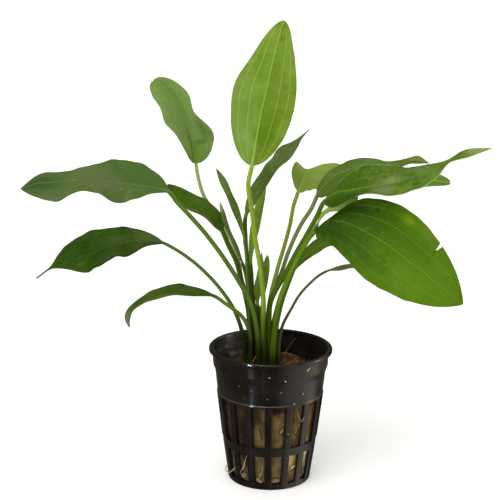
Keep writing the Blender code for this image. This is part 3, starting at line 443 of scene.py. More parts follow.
def distances_along(points):
    """How far along its own length each point lies, from 0 to 1."""
    steps = length(np.diff(points, axis=0))[:, 0]
    return np.concatenate([[0.0], np.cumsum(steps)]) / steps.sum()


def smooth_curve(points, knots, places):
    """Points at the given places on the smooth curve that passes each point at its knot."""
    spans = np.diff(knots)
    slopes = np.diff(points, axis=0) / spans[:, None]
    turns = np.vstack([slopes[:1], slopes[1:], slopes[-1:]])
    inner = slopes[:-1] * spans[1:, None] + slopes[1:] * spans[:-1, None]
    turns[1:-1] = inner / (spans[1:] + spans[:-1])[:, None]
    i = np.clip(np.searchsorted(knots, places, side="right") - 1, 0, len(spans) - 1)
    s = ((places - knots[i]) / spans[i])[:, None]
    span = spans[i][:, None]
    start = (1 + 2 * s) * (1 - s) ** 2 * points[i] + s * (1 - s) ** 2 * span * turns[i]
    end = s * s * (3 - 2 * s) * points[i + 1] + s * s * (s - 1) * span * turns[i + 1]
    return start + end


def new_object(name, points, faces, material, slot=None, replaces=None, values=None):
    """A smooth mesh object from points in millimetres that rides on the root body."""
    mesh = bpy.data.meshes.new(name)
    mesh.from_pydata((np.asarray(points, float) * MM).tolist(), [], faces)
    mesh.validate()
    mesh.shade_smooth()
    for label, data in (values or {}).items():
        kind, field = ("FLOAT_VECTOR", "vector") if data.ndim == 3 else ("FLOAT", "value")
        attribute = mesh.attributes.new(label, kind, "POINT")
        attribute.data.foreach_set(field, data.astype(np.float32).ravel())
    thing = bpy.data.objects.new(name, mesh)
    bpy.context.collection.objects.link(thing)
    mesh.materials.append(material)
    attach(thing, "root")
    if replaces:
        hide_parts(replaces)
    return thing


def ring_faces(rings, sides):
    """Quads between successive rings of points, and a face over each end."""
    faces = []
    for level in range(rings - 1):
        base = level * sides
        for k in range(sides):
            nxt = (k + 1) % sides
            faces.append((base + k, base + nxt, base + sides + nxt, base + sides + k))
    faces.append(tuple(range(sides))[::-1])
    faces.append(tuple(range((rings - 1) * sides, rings * sides)))
    return faces


def srgb(colour):
    """A linear colour from sRGB values of 0 to 255."""
    shares = [value / 255.0 for value in colour]
    return (*(s / 12.92 if s <= 0.04045 else ((s + 0.055) / 1.055) ** 2.4 for s in shares), 1.0)


def put(socket, value):
    """Link a value to a socket, or set the socket; a colour of three numbers is sRGB, from 0 to 255."""
    if isinstance(value, Value):
        socket.id_data.links.new(value.socket, socket)
    elif socket.type == "RGBA" and len(value) == 3:
        socket.default_value = srgb(value)
    else:
        socket.default_value = value


def add_node(tree, kind, inputs=(), **settings):
    """A new node with its settings, and with its inputs put in order or by key."""
    node = tree.nodes.new("ShaderNode" + kind)
    for name, setting in settings.items():
        setattr(node, name, setting)
    pairs = inputs.items() if isinstance(inputs, dict) else enumerate(inputs)
    for key, value in pairs:
        put(node.inputs[key], value)
    return node


class Value:
    """A number, place or colour that changes over a surface: a node's output. Its methods add nodes."""

    def __init__(self, socket):
        self.socket = socket

    def node(self, kind, inputs, output=0, **settings):
        """An output of a new node in the same tree."""
        return Value(add_node(self.socket.id_data, kind, inputs, **settings).outputs[output])

    def math(self, operation, *others):
        return self.node("Math", (self, *others), operation=operation)

    def __add__(self, other):
        return self.math("ADD", other)

    def __sub__(self, other):
        return self.math("SUBTRACT", other)

    def __rsub__(self, other):
        return self.node("Math", (other, self), operation="SUBTRACT")

    def __mul__(self, other):
        return self.math("MULTIPLY", other)

    def __truediv__(self, other):
        return self.math("DIVIDE", other)

    def __pow__(self, other):
        return self.math("POWER", other)

    def __abs__(self):
        return self.math("ABSOLUTE")

    def ramp(self, low, high, start=0.0, end=1.0):
        """start where this is low, end where it is high, and smooth between."""
        return self.node("MapRange", (self, low, high, start, end), interpolation_type="SMOOTHSTEP")

    def between(self, first, second):
        """The colour at this share of the way from the first to the second."""
        return self.node("Mix", {0: self, 6: first, 7: second}, 2, data_type="RGBA")

    def tinted(self, share, colour):
        """This colour with a share of another one on it."""
        return self.node("Mix", {0: share, 6: self, 7: colour}, 2, data_type="RGBA")

    def split(self):
        """x, y and z of a place."""
        node = add_node(self.socket.id_data, "SeparateXYZ", (self,))
        return [Value(socket) for socket in node.outputs]

    def scaled(self, x, y, z):
        return self.node("VectorMath", (self, (x, y, z)), operation="MULTIPLY")

    def noise(self, scale, detail=2.0, roughness=0.5):
        inputs = dict(Vector=self, Scale=scale, Detail=detail, Roughness=roughness)
        return self.node("TexNoise", inputs, "Fac")

    def cells(self, scale):
        """Distance to the nearest of many scattered points."""
        return self.node("TexVoronoi", dict(Vector=self, Scale=scale), "Distance")


class Shader:
    """One material: its place on the object, what its mesh tells it, and its surface."""

    def __init__(self, name):
        self.material = bpy.data.materials.new(name)
        self.material.use_nodes = True
        self.tree = self.material.node_tree
        self.principled = self.tree.nodes["Principled BSDF"]
        self.place = Value(add_node(self.tree, "TexCoord").outputs["Object"])

    def attribute(self, name, output="Vector"):
        return Value(add_node(self.tree, "Attribute", attribute_name=name).outputs[output])

    def surface(self, **values):
        for label, value in values.items():
            put(self.principled.inputs[label.replace("_", " ")], value)

    def bump(self, height, distance, strength):
        inputs = dict(Height=height, Distance=distance, Strength=strength)
        put(self.principled.inputs["Normal"], height.node("Bump", inputs))


def swell(places, ends):
    """How a blade widens from its base and narrows to its tip."""
    return (np.maximum(places, 0.0) ** ends[0] * np.maximum(1.0 - places, 0.0) ** ends[1])[:, None]


def margin_curve(margin, rib, rib_knots, ends, places):
    """Reach from the rib to one margin at the given places, and its direction."""
    shape = (np.array(margin) - rib[1:-1]) / swell(rib_knots[1:-1], ends)
    shape = np.vstack([shape[:1], shape, shape[-1:]])
    direction = smooth_curve(shape, rib_knots, places)
    return length(direction * swell(places, ends)), unit(direction)


def tear_cut(places):
    """Share of the left half that the tear takes away at each place."""
    cut = np.interp(places, (TEAR_SIDES[0], TEAR_BOTTOM, TEAR_SIDES[1]), (0.0, 1.0, 0.0))
    return TEAR_DEPTH * cut ** 0.8


def leaf_guides(leaf):
    """What a leaf's mesh needs at each of its rings, from the stalk's foot to the blade's tip."""
    rib = np.array(leaf["rib"], float)
    line = np.vstack([[(*leaf["foot"], STALK_FOOT)], leaf["stalk"], rib])
    whole = length(np.diff(line, axis=0)).sum()
    knots = distances_along(line)
    base = len(leaf["stalk"]) + 1
    start = knots[base]
    stalk_places = np.linspace(0.0, start, int(start * whole / STALK_STEP), endpoint=False)
    even = np.linspace(0.0, 1.0, int((1.0 - start) * whole / BLADE_STEP))
    places = mix(even, 0.5 - 0.5 * np.cos(math.pi * even), END_CROWDING)
    if "torn" in leaf:
        fine = np.linspace(TEAR_SIDES[0] - TEAR_MARGIN, TEAR_SIDES[1] + TEAR_MARGIN, TEAR_RINGS)
        places = np.unique(np.concatenate([places, fine, [*TEAR_SIDES, TEAR_BOTTOM]]))
    rings = len(stalk_places)
    blade = np.concatenate([np.zeros(rings), places])
    at = np.concatenate([stalk_places, start + places * (1.0 - start)])
    along = unit(smooth_curve(line, knots, np.minimum(at + NUDGE, 1.0))
                 - smooth_curve(line, knots, np.maximum(at - NUDGE, 0.0)))
    thick, thin = leaf["radii"]
    radius = np.concatenate([mix(thick, thin, stalk_places / start),
                             np.maximum(thin * (1.0 - places) ** BLADE_TAPER, leaf.get("tip", TIP_RADIUS))])
    radius = radius * (1.0 + FOOT_FLARE * np.exp(-at * whole / FLARE_LENGTH))
    guides = dict(middle=smooth_curve(line, knots, at), along=along, radius=radius[:, None],
                  place=blade[:, None], stalk=(np.arange(len(at)) < rings)[:, None].astype(float),
                  distance=((at - start) * whole)[:, None])
    rib_knots = (knots[base:] - start) / (1.0 - start)
    halves = [margin_curve(leaf[hand], rib, rib_knots, leaf["ends"], blade) for hand in ("left", "right")]
    side = halves[1][1][:1] - halves[0][1][:1]
    side = unit(side - along * dot(side, along))
    for hand, sign, (reach, way) in zip(("left", "right"), (-1.0, 1.0), halves):
        reach[:rings] = 0.0
        way[:rings] = sign * side[:rings]
        cut = tear_cut(blade) if "torn" in leaf and hand == "left" else np.zeros(len(at))
        guides[hand] = dict(sign=sign, reach=reach, way=way, full=np.hypot(reach, radius[:, None]),
                            cut=cut[:, None])
    return guides


def drifted(share, place):
    """Where a share of the half width lies once the veins have drifted outwards on the way to the tip."""
    return share + VEIN_DRIFT * place ** 3 * share * (1.0 - share)


def half_blade(guides, half, columns, up, phase):
    """Points of one half of a leaf, in rows of its upper and its under side from the rib outwards."""
    place, radius, distance = guides["place"], guides["radius"], guides["distance"]
    sign, full, cut = half["sign"], half["full"], half["cut"]
    share = drifted(np.array(columns), place)
    flat = 1.0 - (radius / full) ** 2
    across = full * (1.0 - cut) * mix(np.sin(0.5 * math.pi * share), share, flat)
    true_share = share * (1.0 - cut)
    x = full * true_share
    veins = sum(bell((share - drifted(k, place)) * full, VEIN_WIDTH) for k in VEIN_PLACES)
    veins = veins * (step(full, *VEINS_REACH) * flat)
    margin_round = np.clip((1.0 - share) / MARGIN_ROUND, 0.0, 1.0) ** 0.5
    skin = mix(HALF_THICKNESS, MARGIN_THICKNESS, share ** 3) * margin_round
    rib = (RIB_PROUD[0] + RIB_PROUD[1] * radius) * bell(x, RIB_WIDTH[0] + RIB_WIDTH[1] * radius)
    channel = CHANNEL_DEPTH * bell(x, CHANNEL_WIDTH) * step(full, *CHANNEL_REACH)
    height_round = radius * np.cos(0.5 * math.pi * share)
    upper = mix(height_round * STALK_TOP, skin - channel - VEIN_SUNK * veins, flat)
    under = mix(height_round, skin + rib + VEIN_PROUD * veins, flat)
    slow, quick = (distance / wave_length for wave_length in RIPPLE_LENGTHS)
    wave = np.sin(slow + phase - sign) + 0.6 * np.sin(quick + 2.1 * phase - 2.0 * sign)
    common = flat * (BOW * full * 4.0 * share * (1.0 - share)
                     + RIPPLE * step(full, *RIPPLE_REACH) * true_share ** 2 * wave)
    inner = share < 1.0
    middle = guides["middle"][:, None, :] + half["way"][:, None, :] * across[:, :, None]
    lift = up[:, None, :]
    return dict(upper=middle + lift * (common + upper * inner)[:, :, None],
                under=middle + lift * (common - under * inner)[:, :, None],
                mm=np.stack(np.broadcast_arrays(sign * x, distance, full), -1),
                share=np.stack(np.broadcast_arrays(sign * true_share, place, guides["stalk"]), -1))


def make_leaf(name, leaf, phase):
    """One fine leaf that stands for the model's plain one."""
    guides = leaf_guides(leaf)
    left, right = guides["left"], guides["right"]
    broad = max(left["reach"].max(), right["reach"].max()) > BROAD_REACH
    columns = BROAD_COLUMNS if broad else NARROW_COLUMNS
    side = right["way"] * right["full"] - left["way"] * left["full"]
    side = unit(side - guides["along"] * dot(side, guides["along"]))
    up = np.cross(side, guides["along"])
    to_camera = unit(np.array(CAMERA_PLACE) / MM - guides["middle"])
    faces_camera = (dot(up, to_camera) * (left["reach"] + right["reach"])).sum() > 0
    top_sign = 1.0 if faces_camera == (leaf["look"]["shows"] == "upper") else -1.0
    left, right = (half_blade(guides, half, columns, up * top_sign, phase) for half in (left, right))

    def around(over, below):
        """Rows over the leaf from its left margin to its right one, and back below it."""
        rows = np.concatenate([left[over][:, :0:-1], right[over], right[below][:, -2:0:-1],
                               left[below][:, :-1]], axis=1)
        return np.concatenate([rows[:1], rows])

    points = around("upper", "under")
    points[0, :, 2] -= FOOT_DEPTH
    rings, sides, _ = points.shape
    # 1 above and 0 below, and halfway at the two margins
    half_round = len(columns) * 2 - 3
    upper_side = np.concatenate([[0.5], np.ones(half_round), [0.5], np.zeros(half_round)])
    faces = ring_faces(rings, sides)
    if top_sign < 0:
        faces = [face[::-1] for face in faces]
    values = {"leaf_mm": around("mm", "mm"), "leaf_share": around("share", "share"),
              "leaf_side": np.broadcast_to(upper_side, (rings, sides))}
    new_object("fine_" + name, points.reshape(-1, 3), faces, leaf_material(name, leaf),
               slot=leaf["slot"], values=values, replaces=name)


# Leaf skin: colours, and lengths in millimetres
PALE_GREEN = (150, 168, 96)
FRESH_GREEN = (152, 192, 70)
HIDDEN_TOP = ((46, 76, 14), (70, 100, 26))
# Painted shade on the stalks: dark green at the foot, dark brown deep in the rosette
FOOT_SHADE = (42, 60, 8)
DEEP_SHADE = (34, 34, 8)
GLOW = (150, 190, 40)
CROSS_LEAN = 0.5
VEIN_STRENGTHS = (1.0, 0.75)
VEIN_EDGES = (0.06, 0.26)
RIB_EDGES = (0.12, 0.34)
MARGIN_EDGES = (0.25, 0.55)
PAINTED_SIDE_LINE_EDGES = (0.08, 0.32)
BLOTCH_SCALE = 55.0
BLOTCH_RANGE = (0.38, 0.68)
MOTTLE = 0.6
LEAF_TRANSLUCENCE = 0.22

# Heights in metres between which painted shade darkens the stalks at the foot, and browns them deep in the
# rosette
FOOT_SHADE_HEIGHTS = (0.062, 0.086)
DEEP_SHADE_HEIGHTS = (0.056, 0.067)

# The edge of a mark: how far out it is, and its grain and raggedness
MARK_EDGE = 1.25
MARK_GRAIN = 500.0
MARK_RAGGEDNESS = 0.5


def towards(colour, other, share):
    return tuple(round(mix(c, o, share)) for c, o in zip(colour, other))


def marked(skin, share, place, spot, mark):
    """The skin with one soft-edged mark on it, at a share of the half width and a share of the length."""
    middle, half_size, softness, strength, colour = mark
    sideways = (share - middle[0]) / half_size[0]
    lengthways = (place - middle[1]) / half_size[1]
    away = (sideways * sideways + lengthways * lengthways).math("SQRT")
    away = away + spot.noise(MARK_GRAIN) * MARK_RAGGEDNESS
    return skin.tinted(away.ramp(MARK_EDGE - softness, MARK_EDGE, strength, 0.0), colour)


def long_veins(half_share, place, reach):
    """Strength of the two long veins in each half of a blade."""
    drift = place ** 3.0
    veins = []
    for k, strength in zip(VEIN_PLACES, VEIN_STRENGTHS):
        line = drift * (VEIN_DRIFT * k * (1.0 - k)) + k
        veins.append((abs(half_share - line) * reach).ramp(*VEIN_EDGES, strength, 0.0))
    return veins[0].math("MAXIMUM", veins[1])


def cross_veins(spot, along, from_rib, spacing):
    """Strength of the fine cross veins, a sloping wave along the blade, and where they fade in patches."""
    wobble = spot.noise(140.0, 1.0) * 2.4 + spot.noise(480.0) * 0.9
    phase = along / spacing + wobble - from_rib * (CROSS_LEAN / spacing)
    wave = abs(phase.math("FRACT") - 0.5)
    return wave.ramp(0.3, 0.47), spot.noise(110.0, 3.0).ramp(0.36, 0.6, 0.15, 1.0)


def stalk_skin(spot, across, along, share, reach, look):
    """Streaky stalk with a painted highlight down its left side and painted shade down its right, and
    painted shade that darkens its foot and turns it brown deep in the rosette.
    """
    plain = look["stalk"]
    streak = across.node("CombineXYZ", (across * 3.0, along * 0.09, share)).noise(1.0)
    skin = streak.ramp(0.35, 0.65).between([round(c * 0.8) for c in plain], plain)
    round_share = across / reach
    # Painted highlight down the stalk's left side and painted shade down its right, as the light falls
    bright, dull = towards(plain, FRESH_GREEN, 0.5), [c * 0.6 for c in plain]
    for middle, strength, colour in ((-0.6, 0.75, bright), (0.35, 0.3, dull)):
        skin = skin.tinted(abs(round_share - middle).ramp(*PAINTED_SIDE_LINE_EDGES, strength, 0.0), colour)
    x, _, height = spot.split()
    # Painted shade: darker green towards the foot, and dark brown deeper in the rosette
    skin = skin.tinted(height.ramp(*FOOT_SHADE_HEIGHTS, look["foot"], 0.0), FOOT_SHADE)
    level = height + x * 0.9 + spot.noise(300.0) * 0.006
    return skin.tinted(level.ramp(*DEEP_SHADE_HEIGHTS, 0.9, 0.0), DEEP_SHADE)


def leaf_material(name, leaf):
    """Green skin with a pale rib, long and cross veins, blotches and marks, and the stalk's own skin."""
    look = {**USUAL_LOOK, **leaf["look"]}
    s = Shader("skin_" + name)
    spot = s.place
    across, along, reach = s.attribute("leaf_mm").split()
    share, place, stalk = s.attribute("leaf_share").split()
    from_rib, half_share = abs(across), abs(share)
    broad = reach.ramp(*VEINS_REACH)
    rib = (from_rib - (1.0 - place) ** 5.0 * 0.4).ramp(*RIB_EDGES, 1.0, 0.0)
    veins = long_veins(half_share, place, reach) * broad
    cross, patchy = cross_veins(spot, along, from_rib, look["spacing"])
    cross = cross * broad * patchy
    blotch = spot.noise(BLOTCH_SCALE, 3.0, 0.55) + spot.noise(430.0, 3.0, 0.6) * MOTTLE
    lightness = (blotch + place * look["to_tip"]).ramp(*(end + 0.5 * MOTTLE for end in BLOTCH_RANGE))
    front = look["dark"], look["light"]
    if look["shows"] == "upper":
        under, upper = [towards(colour, PALE_GREEN, 0.45) for colour in front], front
    else:
        under, upper = front, HIDDEN_TOP
    skin = s.attribute("leaf_side", "Fac").between(lightness.between(*under), lightness.between(*upper))
    vein_colour = look.get("vein", towards(look["light"], FRESH_GREEN, 0.4))
    skin = skin.tinted(cross * look["cross"], vein_colour)
    margin = ((1.0 - half_share) * reach).ramp(*MARGIN_EDGES, look["margin"], 0.0)
    skin = skin.tinted(margin, look.get("edge", towards(look["dark"], PALE_GREEN, 0.2)))
    for mark in leaf.get("marks", ()):
        skin = marked(skin, share, place, spot, mark)
    veins = (veins * look["veins"]).math("MAXIMUM", rib * look["rib"])
    skin = skin.tinted(veins * place.ramp(0.0, 0.45, look["base"], 1.0), vein_colour)
    colour = stalk.between(skin, stalk_skin(spot, across, along, share, reach, look))
    s.bump(cross * -0.35 + spot.noise(1500.0) * 0.25, 0.00012, 0.6)
    s.surface(Base_Color=colour, Roughness=spot.noise(120.0, 3.0).ramp(0.3, 0.7, 0.34, 0.5),
              Specular_IOR_Level=look["gloss"])
    glow = colour.node("BsdfTranslucent", (colour.tinted(0.35, GLOW),))
    both = colour.node("MixShader", (LEAF_TRANSLUCENCE, Value(s.principled.outputs[0]), glow))
    put(s.tree.nodes["Material Output"].inputs["Surface"], both)
    return s.material


# Pot, as the model has it: outer radii and heights, and its walls
POT_HEIGHT = 60.0
FOOT_RADIUS = 17.7
LOWER_SLOTS = (2.7, 16.3)
LOWER_RADII = (18.45, 20.4)
UPPER_SLOTS = (20.2, 39.6)
UPPER_RADII = (21.1, 23.45)
RING_STEP = 0.35
BAND_HEIGHTS = (40.4, 50.0)
BAND_RADII = (23.15, 24.2)
COLLAR_HEIGHTS = (52.5, 57.9)
COLLAR_RADII = (25.2, 25.4)
RIM_RADIUS = 27.0
RIM_LIP = 1.7
RIM_WIDTH = 2.0
WALL = 1.1
FLOOR = 1.2
FLOOR_SLOTS = (9.0, 15.5)
SLAT_COUNT = 16
SLAT_WIDTH = 3.2
SLAT_TURN = -92.2
SLAT_ROUND = 0.2
SLAT_COLUMNS = (-1.0, -0.78, -0.4, 0.4, 0.78, 1.0)
SLOT_COLUMNS = 5
ARC_STEPS = 4
SHARP_ANGLE = 32.0


def rounded(corners):
    """Radius, height pairs of a profile whose corners are cut to arcs of the roundings given with them."""
    found = []
    for i, (radius, height, rounding) in enumerate(corners):
        here = np.array((radius, height))
        if not rounding:
            found.append(tuple(here))
            continue
        before = here + unit(np.array(corners[i - 1][:2]) - here) * rounding
        after = here + unit(np.array(corners[i + 1][:2]) - here) * rounding
        for s in np.linspace(0.0, 1.0, ARC_STEPS):
            found.append(tuple(mix(mix(before, here, s), mix(here, after, s), s)))
    return found


def pot_profile():
    """Up the outside of the pot from under its middle, then down its inside."""
    rim_under = POT_HEIGHT - RIM_LIP
    rim_inner = RIM_RADIUS - RIM_WIDTH
    corners = [(FLOOR_SLOTS[0], 0.0, 0.0), (FLOOR_SLOTS[1], 0.0, 0.0), (FOOT_RADIUS + 0.45, 0.0, 0.7),
               (LOWER_RADII[0], LOWER_SLOTS[0], 0.0), (LOWER_RADII[1], LOWER_SLOTS[1], 0.0),
               (UPPER_RADII[0] - RING_STEP, UPPER_SLOTS[0] - 0.35, 0.15),
               (UPPER_RADII[0], UPPER_SLOTS[0], 0.0), (UPPER_RADII[1], UPPER_SLOTS[1], 0.0),
               (UPPER_RADII[1] + 0.05, UPPER_SLOTS[1] + 0.45, 0.25), (BAND_RADII[0], BAND_HEIGHTS[0], 0.2),
               (BAND_RADII[1], BAND_HEIGHTS[1], 0.8), (COLLAR_RADII[0], COLLAR_HEIGHTS[0], 0.8),
               (COLLAR_RADII[1], COLLAR_HEIGHTS[1], 0.3), (RIM_RADIUS, rim_under, 0.5),
               (RIM_RADIUS, POT_HEIGHT, 0.7), (rim_inner, POT_HEIGHT, 0.6),
               (COLLAR_RADII[0] - WALL, COLLAR_HEIGHTS[0] - 0.4, 0.5),
               (BAND_RADII[1] - WALL, BAND_HEIGHTS[1] - 0.4, 0.5)]
    for radius, height in zip(UPPER_RADII[::-1] + LOWER_RADII[::-1], UPPER_SLOTS[::-1] + LOWER_SLOTS[::-1]):
        corners.append((radius - WALL, height, 0.0))
    corners += [(FOOT_RADIUS - 0.6, FLOOR, 0.4), (FLOOR_SLOTS[1], FLOOR, 0.0), (FLOOR_SLOTS[0], FLOOR, 0.0)]
    return rounded(corners)


def pot_columns(radius):
    """Angles round the pot, how far in each one lies there, and whether a slot follows it."""
    pitch = 2.0 * math.pi / SLAT_COUNT
    half = 0.5 * SLAT_WIDTH / max(radius, FOOT_RADIUS)
    found = []
    for slat in range(SLAT_COUNT):
        middle = math.radians(SLAT_TURN) + slat * pitch
        for share in SLAT_COLUMNS:
            found.append((middle + share * half, SLAT_ROUND * (abs(share) == 1.0), share == 1.0))
        for k in range(1, SLOT_COLUMNS + 1):
            found.append((middle + half + (pitch - 2.0 * half) * k / (SLOT_COLUMNS + 1), 0.0, True))
    return found


def make_pot():
    """The net pot: a turned shell with two rows of slots in its wall and one in its floor."""
    profile = pot_profile()
    slots = [((FLOOR_SLOTS[0], 0.0), (FLOOR_SLOTS[0], FLOOR))]
    for radii, heights in ((LOWER_RADII, LOWER_SLOTS), (UPPER_RADII, UPPER_SLOTS)):
        slots.append(((radii[0], heights[0]), (radii[0] - WALL, heights[0])))
    twins = {profile.index(outer): profile.index(inner) for outer, inner in slots}
    slatted = {level for low in twins for level in (low, low + 1)}
    points = [(0.0, 0.0, 0.0)]
    for level, (radius, height) in enumerate(profile):
        for angle, inset, _ in pot_columns(radius):
            r = radius - (inset if level in slatted and height > 0.0 else 0.0)
            points.append((r * math.cos(angle), r * math.sin(angle), height))
    points.append((0.0, 0.0, FLOOR))
    columns = [opens for _, _, opens in pot_columns(FOOT_RADIUS)]
    count = len(columns)

    def corner(level, column):
        return 1 + level * count + column % count

    def band(level, other, column):
        return (corner(level, column), corner(level, column + 1), corner(other, column + 1),
                corner(other, column))

    def reveal(level, column):
        twin = twins[level]
        return (corner(level, column), corner(level + 1, column), corner(twin - 1, column),
                corner(twin, column))

    open_levels = set(twins) | {twin - 1 for twin in twins.values()}
    last = len(profile) - 1
    faces = []
    for column, opens in enumerate(columns):
        faces.append((0, corner(0, column + 1), corner(0, column)))
        faces.append((len(points) - 1, corner(last, column), corner(last, column + 1)))
        for level in range(last):
            if not (opens and level in open_levels):
                faces.append(band(level, level + 1, column))
        if opens:
            for level, twin in twins.items():
                faces += [band(level, twin, column)[::-1], band(level + 1, twin - 1, column)]
                if not columns[column - 1]:
                    faces.append(reveal(level, column))
                if not columns[(column + 1) % count]:
                    faces.append(reveal(level, column + 1)[::-1])
    pot = new_object("fine_pot", points, faces, pot_material(), slot="pot", replaces="pot")
    pot.data.set_sharp_from_angle(angle=math.radians(SHARP_ANGLE))


# On the pot, in metres: heights of the painted highlight along the ledge under the band and of the ring of
# painted glints inside the rim, and the radii and heights between which the inside of the rim begins
LEDGE_HIGHLIGHT_HEIGHT = 0.0402
GLINT_RING_HEIGHT = 0.0563
INSIDE_RADII = (0.0246, 0.025)
INSIDE_HEIGHTS = (0.0518, 0.0524)


def pot_material():
    """Black satin plastic with upright scratches, lime bloom, dust and brown stains, and painted glints
    specked inside the rim on the left and a painted highlight along the ledge under the band.
    """
    s = Shader("black_plastic")
    spot = s.place
    x, y, z = spot.split()
    upright = spot.scaled(1.0, 1.0, 0.06).noise(900.0, 3.0)
    cloud = spot.noise(90.0, 4.0, 0.6)
    plain = cloud.ramp(0.35, 0.7).between((17, 13, 9), (30, 24, 18))
    plain = plain.tinted(upright.ramp(0.55, 0.75) * 0.14, (52, 45, 38))
    on_collar = (x * 0.9 - y * 0.35).ramp(0.0225, 0.0262) * z.ramp(0.049, 0.053) * z.ramp(0.0595, 0.058)
    stain = on_collar * spot.noise(330.0, 3.0).ramp(0.4, 0.55)
    plain = plain.tinted(stain * 0.7, (98, 66, 42))
    bloom = spot.scaled(1.0, 1.0, 0.25).noise(260.0, 4.0, 0.65).ramp(0.56, 0.72) * 0.14
    plain = plain.tinted(bloom, (74, 64, 52))
    dust = spot.cells(420.0).ramp(0.05, 0.11, 1.0, 0.0) * spot.noise(240.0).ramp(0.6, 0.66)
    plain = plain.tinted(dust, (150, 142, 122))
    radius = (x * x + y * y).math("SQRT")
    inside = radius.ramp(*INSIDE_RADII, 1.0, 0.0) * z.ramp(*INSIDE_HEIGHTS)
    # Painted glints: pale specks in the colour along a ring on the inner wall, on the left
    painted_glints = abs(z + cloud * 0.003 - GLINT_RING_HEIGHT).ramp(0.0003, 0.0011, 0.9, 0.0)
    painted_glints = painted_glints * spot.noise(1500.0).ramp(0.54, 0.62) * (inside * x.ramp(-0.004, -0.012))
    plain = plain.tinted(painted_glints, (150, 146, 136))
    # Painted highlight: a pale line round the top of the ledge under the band, where it catches the light
    ledge_highlight = abs(z - LEDGE_HIGHLIGHT_HEIGHT).ramp(0.0001, 0.0004, 0.4, 0.0) * cloud.ramp(0.35, 0.6, 0.25, 1.0)
    plain = plain.tinted(ledge_highlight, (100, 92, 80))
    rough = (cloud * 0.6 + upright * 0.4).ramp(0.35, 0.65, 0.15, 0.22) + inside * 0.22
    turned = spot.scaled(0.08, 0.08, 1.0).noise(5200.0)
    s.bump(turned + spot.noise(700.0, 3.0) * 0.3, 0.00003, 1.0)
    s.surface(Base_Color=plain, Roughness=rough, Specular_IOR_Level=0.3, Anisotropic=0.93,
              Anisotropic_Rotation=0.25)
    return s.material


# Rockwool: levels of the plug as middle x, half x, half y and height; where its top begins; and its lumps,
# as size and height, how much higher they are on its top and how far they may stand out below it
PLUG_SIDES = 220
PLUG_LEVELS = (
    (0.0, 4.0, 4.0, 1.6), (0.0, 15.6, 15.6, 1.6), (0.0, 16.6, 16.6, 2.6), (0.0, 18.95, 18.95, 18.2),
    (0.0, 21.6, 21.6, 40.0), (0.0, 22.1, 22.1, 48.4), (0.0, 21.3, 21.3, 50.3), (-0.6, 19.0, 18.6, 51.2),
    (-1.8, 14.5, 13.0, 51.9), (-3.7, 9.6, 7.2, 52.2), (-3.7, 7.6, 5.2, 51.6), (-3.7, 3.0, 2.0, 51.2),
)
PLUG_STEP = 0.55
PLUG_BRIM = 50.0
WOOL_LUMPS = ((4.5, 0.3), (1.6, 0.22), (0.6, 0.12))
TOP_LUMPINESS = 2.2
WALL_LUMP_LIMIT = 0.3


def make_plug():
    """The rockwool plug with its matted face; the crown sits in the hollow of its top."""
    rows = []
    levels = np.array(PLUG_LEVELS)
    for first, second in zip(levels, levels[1:]):
        steps = max(1, int(np.linalg.norm((second - first)[1:]) / PLUG_STEP))
        rows += [mix(first, second, k / steps) for k in range(steps)]
    rows.append(levels[-1])
    points = []
    for i, (middle, half_x, half_y, height) in enumerate(rows):
        ahead, behind = rows[min(i + 1, len(rows) - 1)], rows[max(i - 1, 0)]
        run, rise = ahead[1] - behind[1], ahead[3] - behind[3]
        out, over = unit(np.array((rise, -run)))
        for k in range(PLUG_SIDES):
            angle = 2.0 * math.pi * k / PLUG_SIDES
            ways = np.array((math.cos(angle), math.sin(angle)))
            place = np.array((middle + half_x * ways[0], half_y * ways[1], height))
            lift = lumps(place, WOOL_LUMPS)
            lift = lift * TOP_LUMPINESS if height > PLUG_BRIM else min(lift, WALL_LUMP_LIMIT)
            points.append(place + lift * np.array((out * ways[0], out * ways[1], over)))
    faces = ring_faces(len(rows), PLUG_SIDES)
    new_object("fine_rockwool", points, faces, wool_material(), slot="rockwool", replaces="rockwool")


# Marks on the rockwool, seen through the slots, as on the leaves but with their middle and half size as an
# angle in degrees, 0 in front and positive to the right, and a height
WOOL_MARKS = (
    ((-52.0, 28.0), (9.0, 12.0), 0.9, 0.75, (116, 100, 78)),
    ((-51.0, 15.0), (10.0, 9.0), 0.8, 0.9, (150, 132, 92)),
    ((-33.0, 20.0), (12.0, 17.0), 0.6, 0.96, (26, 18, 8)),
    ((-8.0, 38.0), (8.0, 6.0), 0.8, 0.5, (112, 86, 48)),
    # This nearly black mark at the top of the front window is painted shade under the band.
    ((6.0, 39.5), (10.0, 6.0), 0.6, 0.92, (24, 14, 4)),
    ((28.0, 39.0), (9.0, 4.5), 0.8, 0.6, (54, 38, 20)),
    ((28.0, 13.5), (11.0, 7.0), 0.7, 0.95, (206, 180, 116)),
    ((50.0, 30.0), (12.0, 9.0), 0.8, 0.9, (158, 114, 62)),
    ((52.0, 15.0), (14.0, 9.0), 0.7, 1.0, (236, 214, 150)),
)

# Damp of the rockwool: per metre of height and to the left, its wandering, and the sums between which it
# sets in
DAMP_BY_HEIGHT = 40.0
DAMP_TO_LEFT = 75.0
DAMP_WANDER = 1.5
DAMP_ENDS = (1.3, 1.85)


def wool_marked(colour, spot):
    """The wool's colour with its marks on it."""
    x, y, z = spot.split()
    angle = x.math("ARCTAN2", y * -1.0) * math.degrees(1.0)
    height = z / MM
    for mark in WOOL_MARKS:
        colour = marked(colour, angle, height, spot, mark)
    return colour


def damp_share(spot):
    """Share of dark damp, from the top down and lower on the left, and the wandering height it follows."""
    x, _, z = spot.split()
    wander = (spot.scaled(1.0, 1.0, 0.5).noise(170.0, 3.0) - 0.5) * DAMP_WANDER
    height = z * DAMP_BY_HEIGHT + wander
    return (height - x * DAMP_TO_LEFT).ramp(*DAMP_ENDS), height


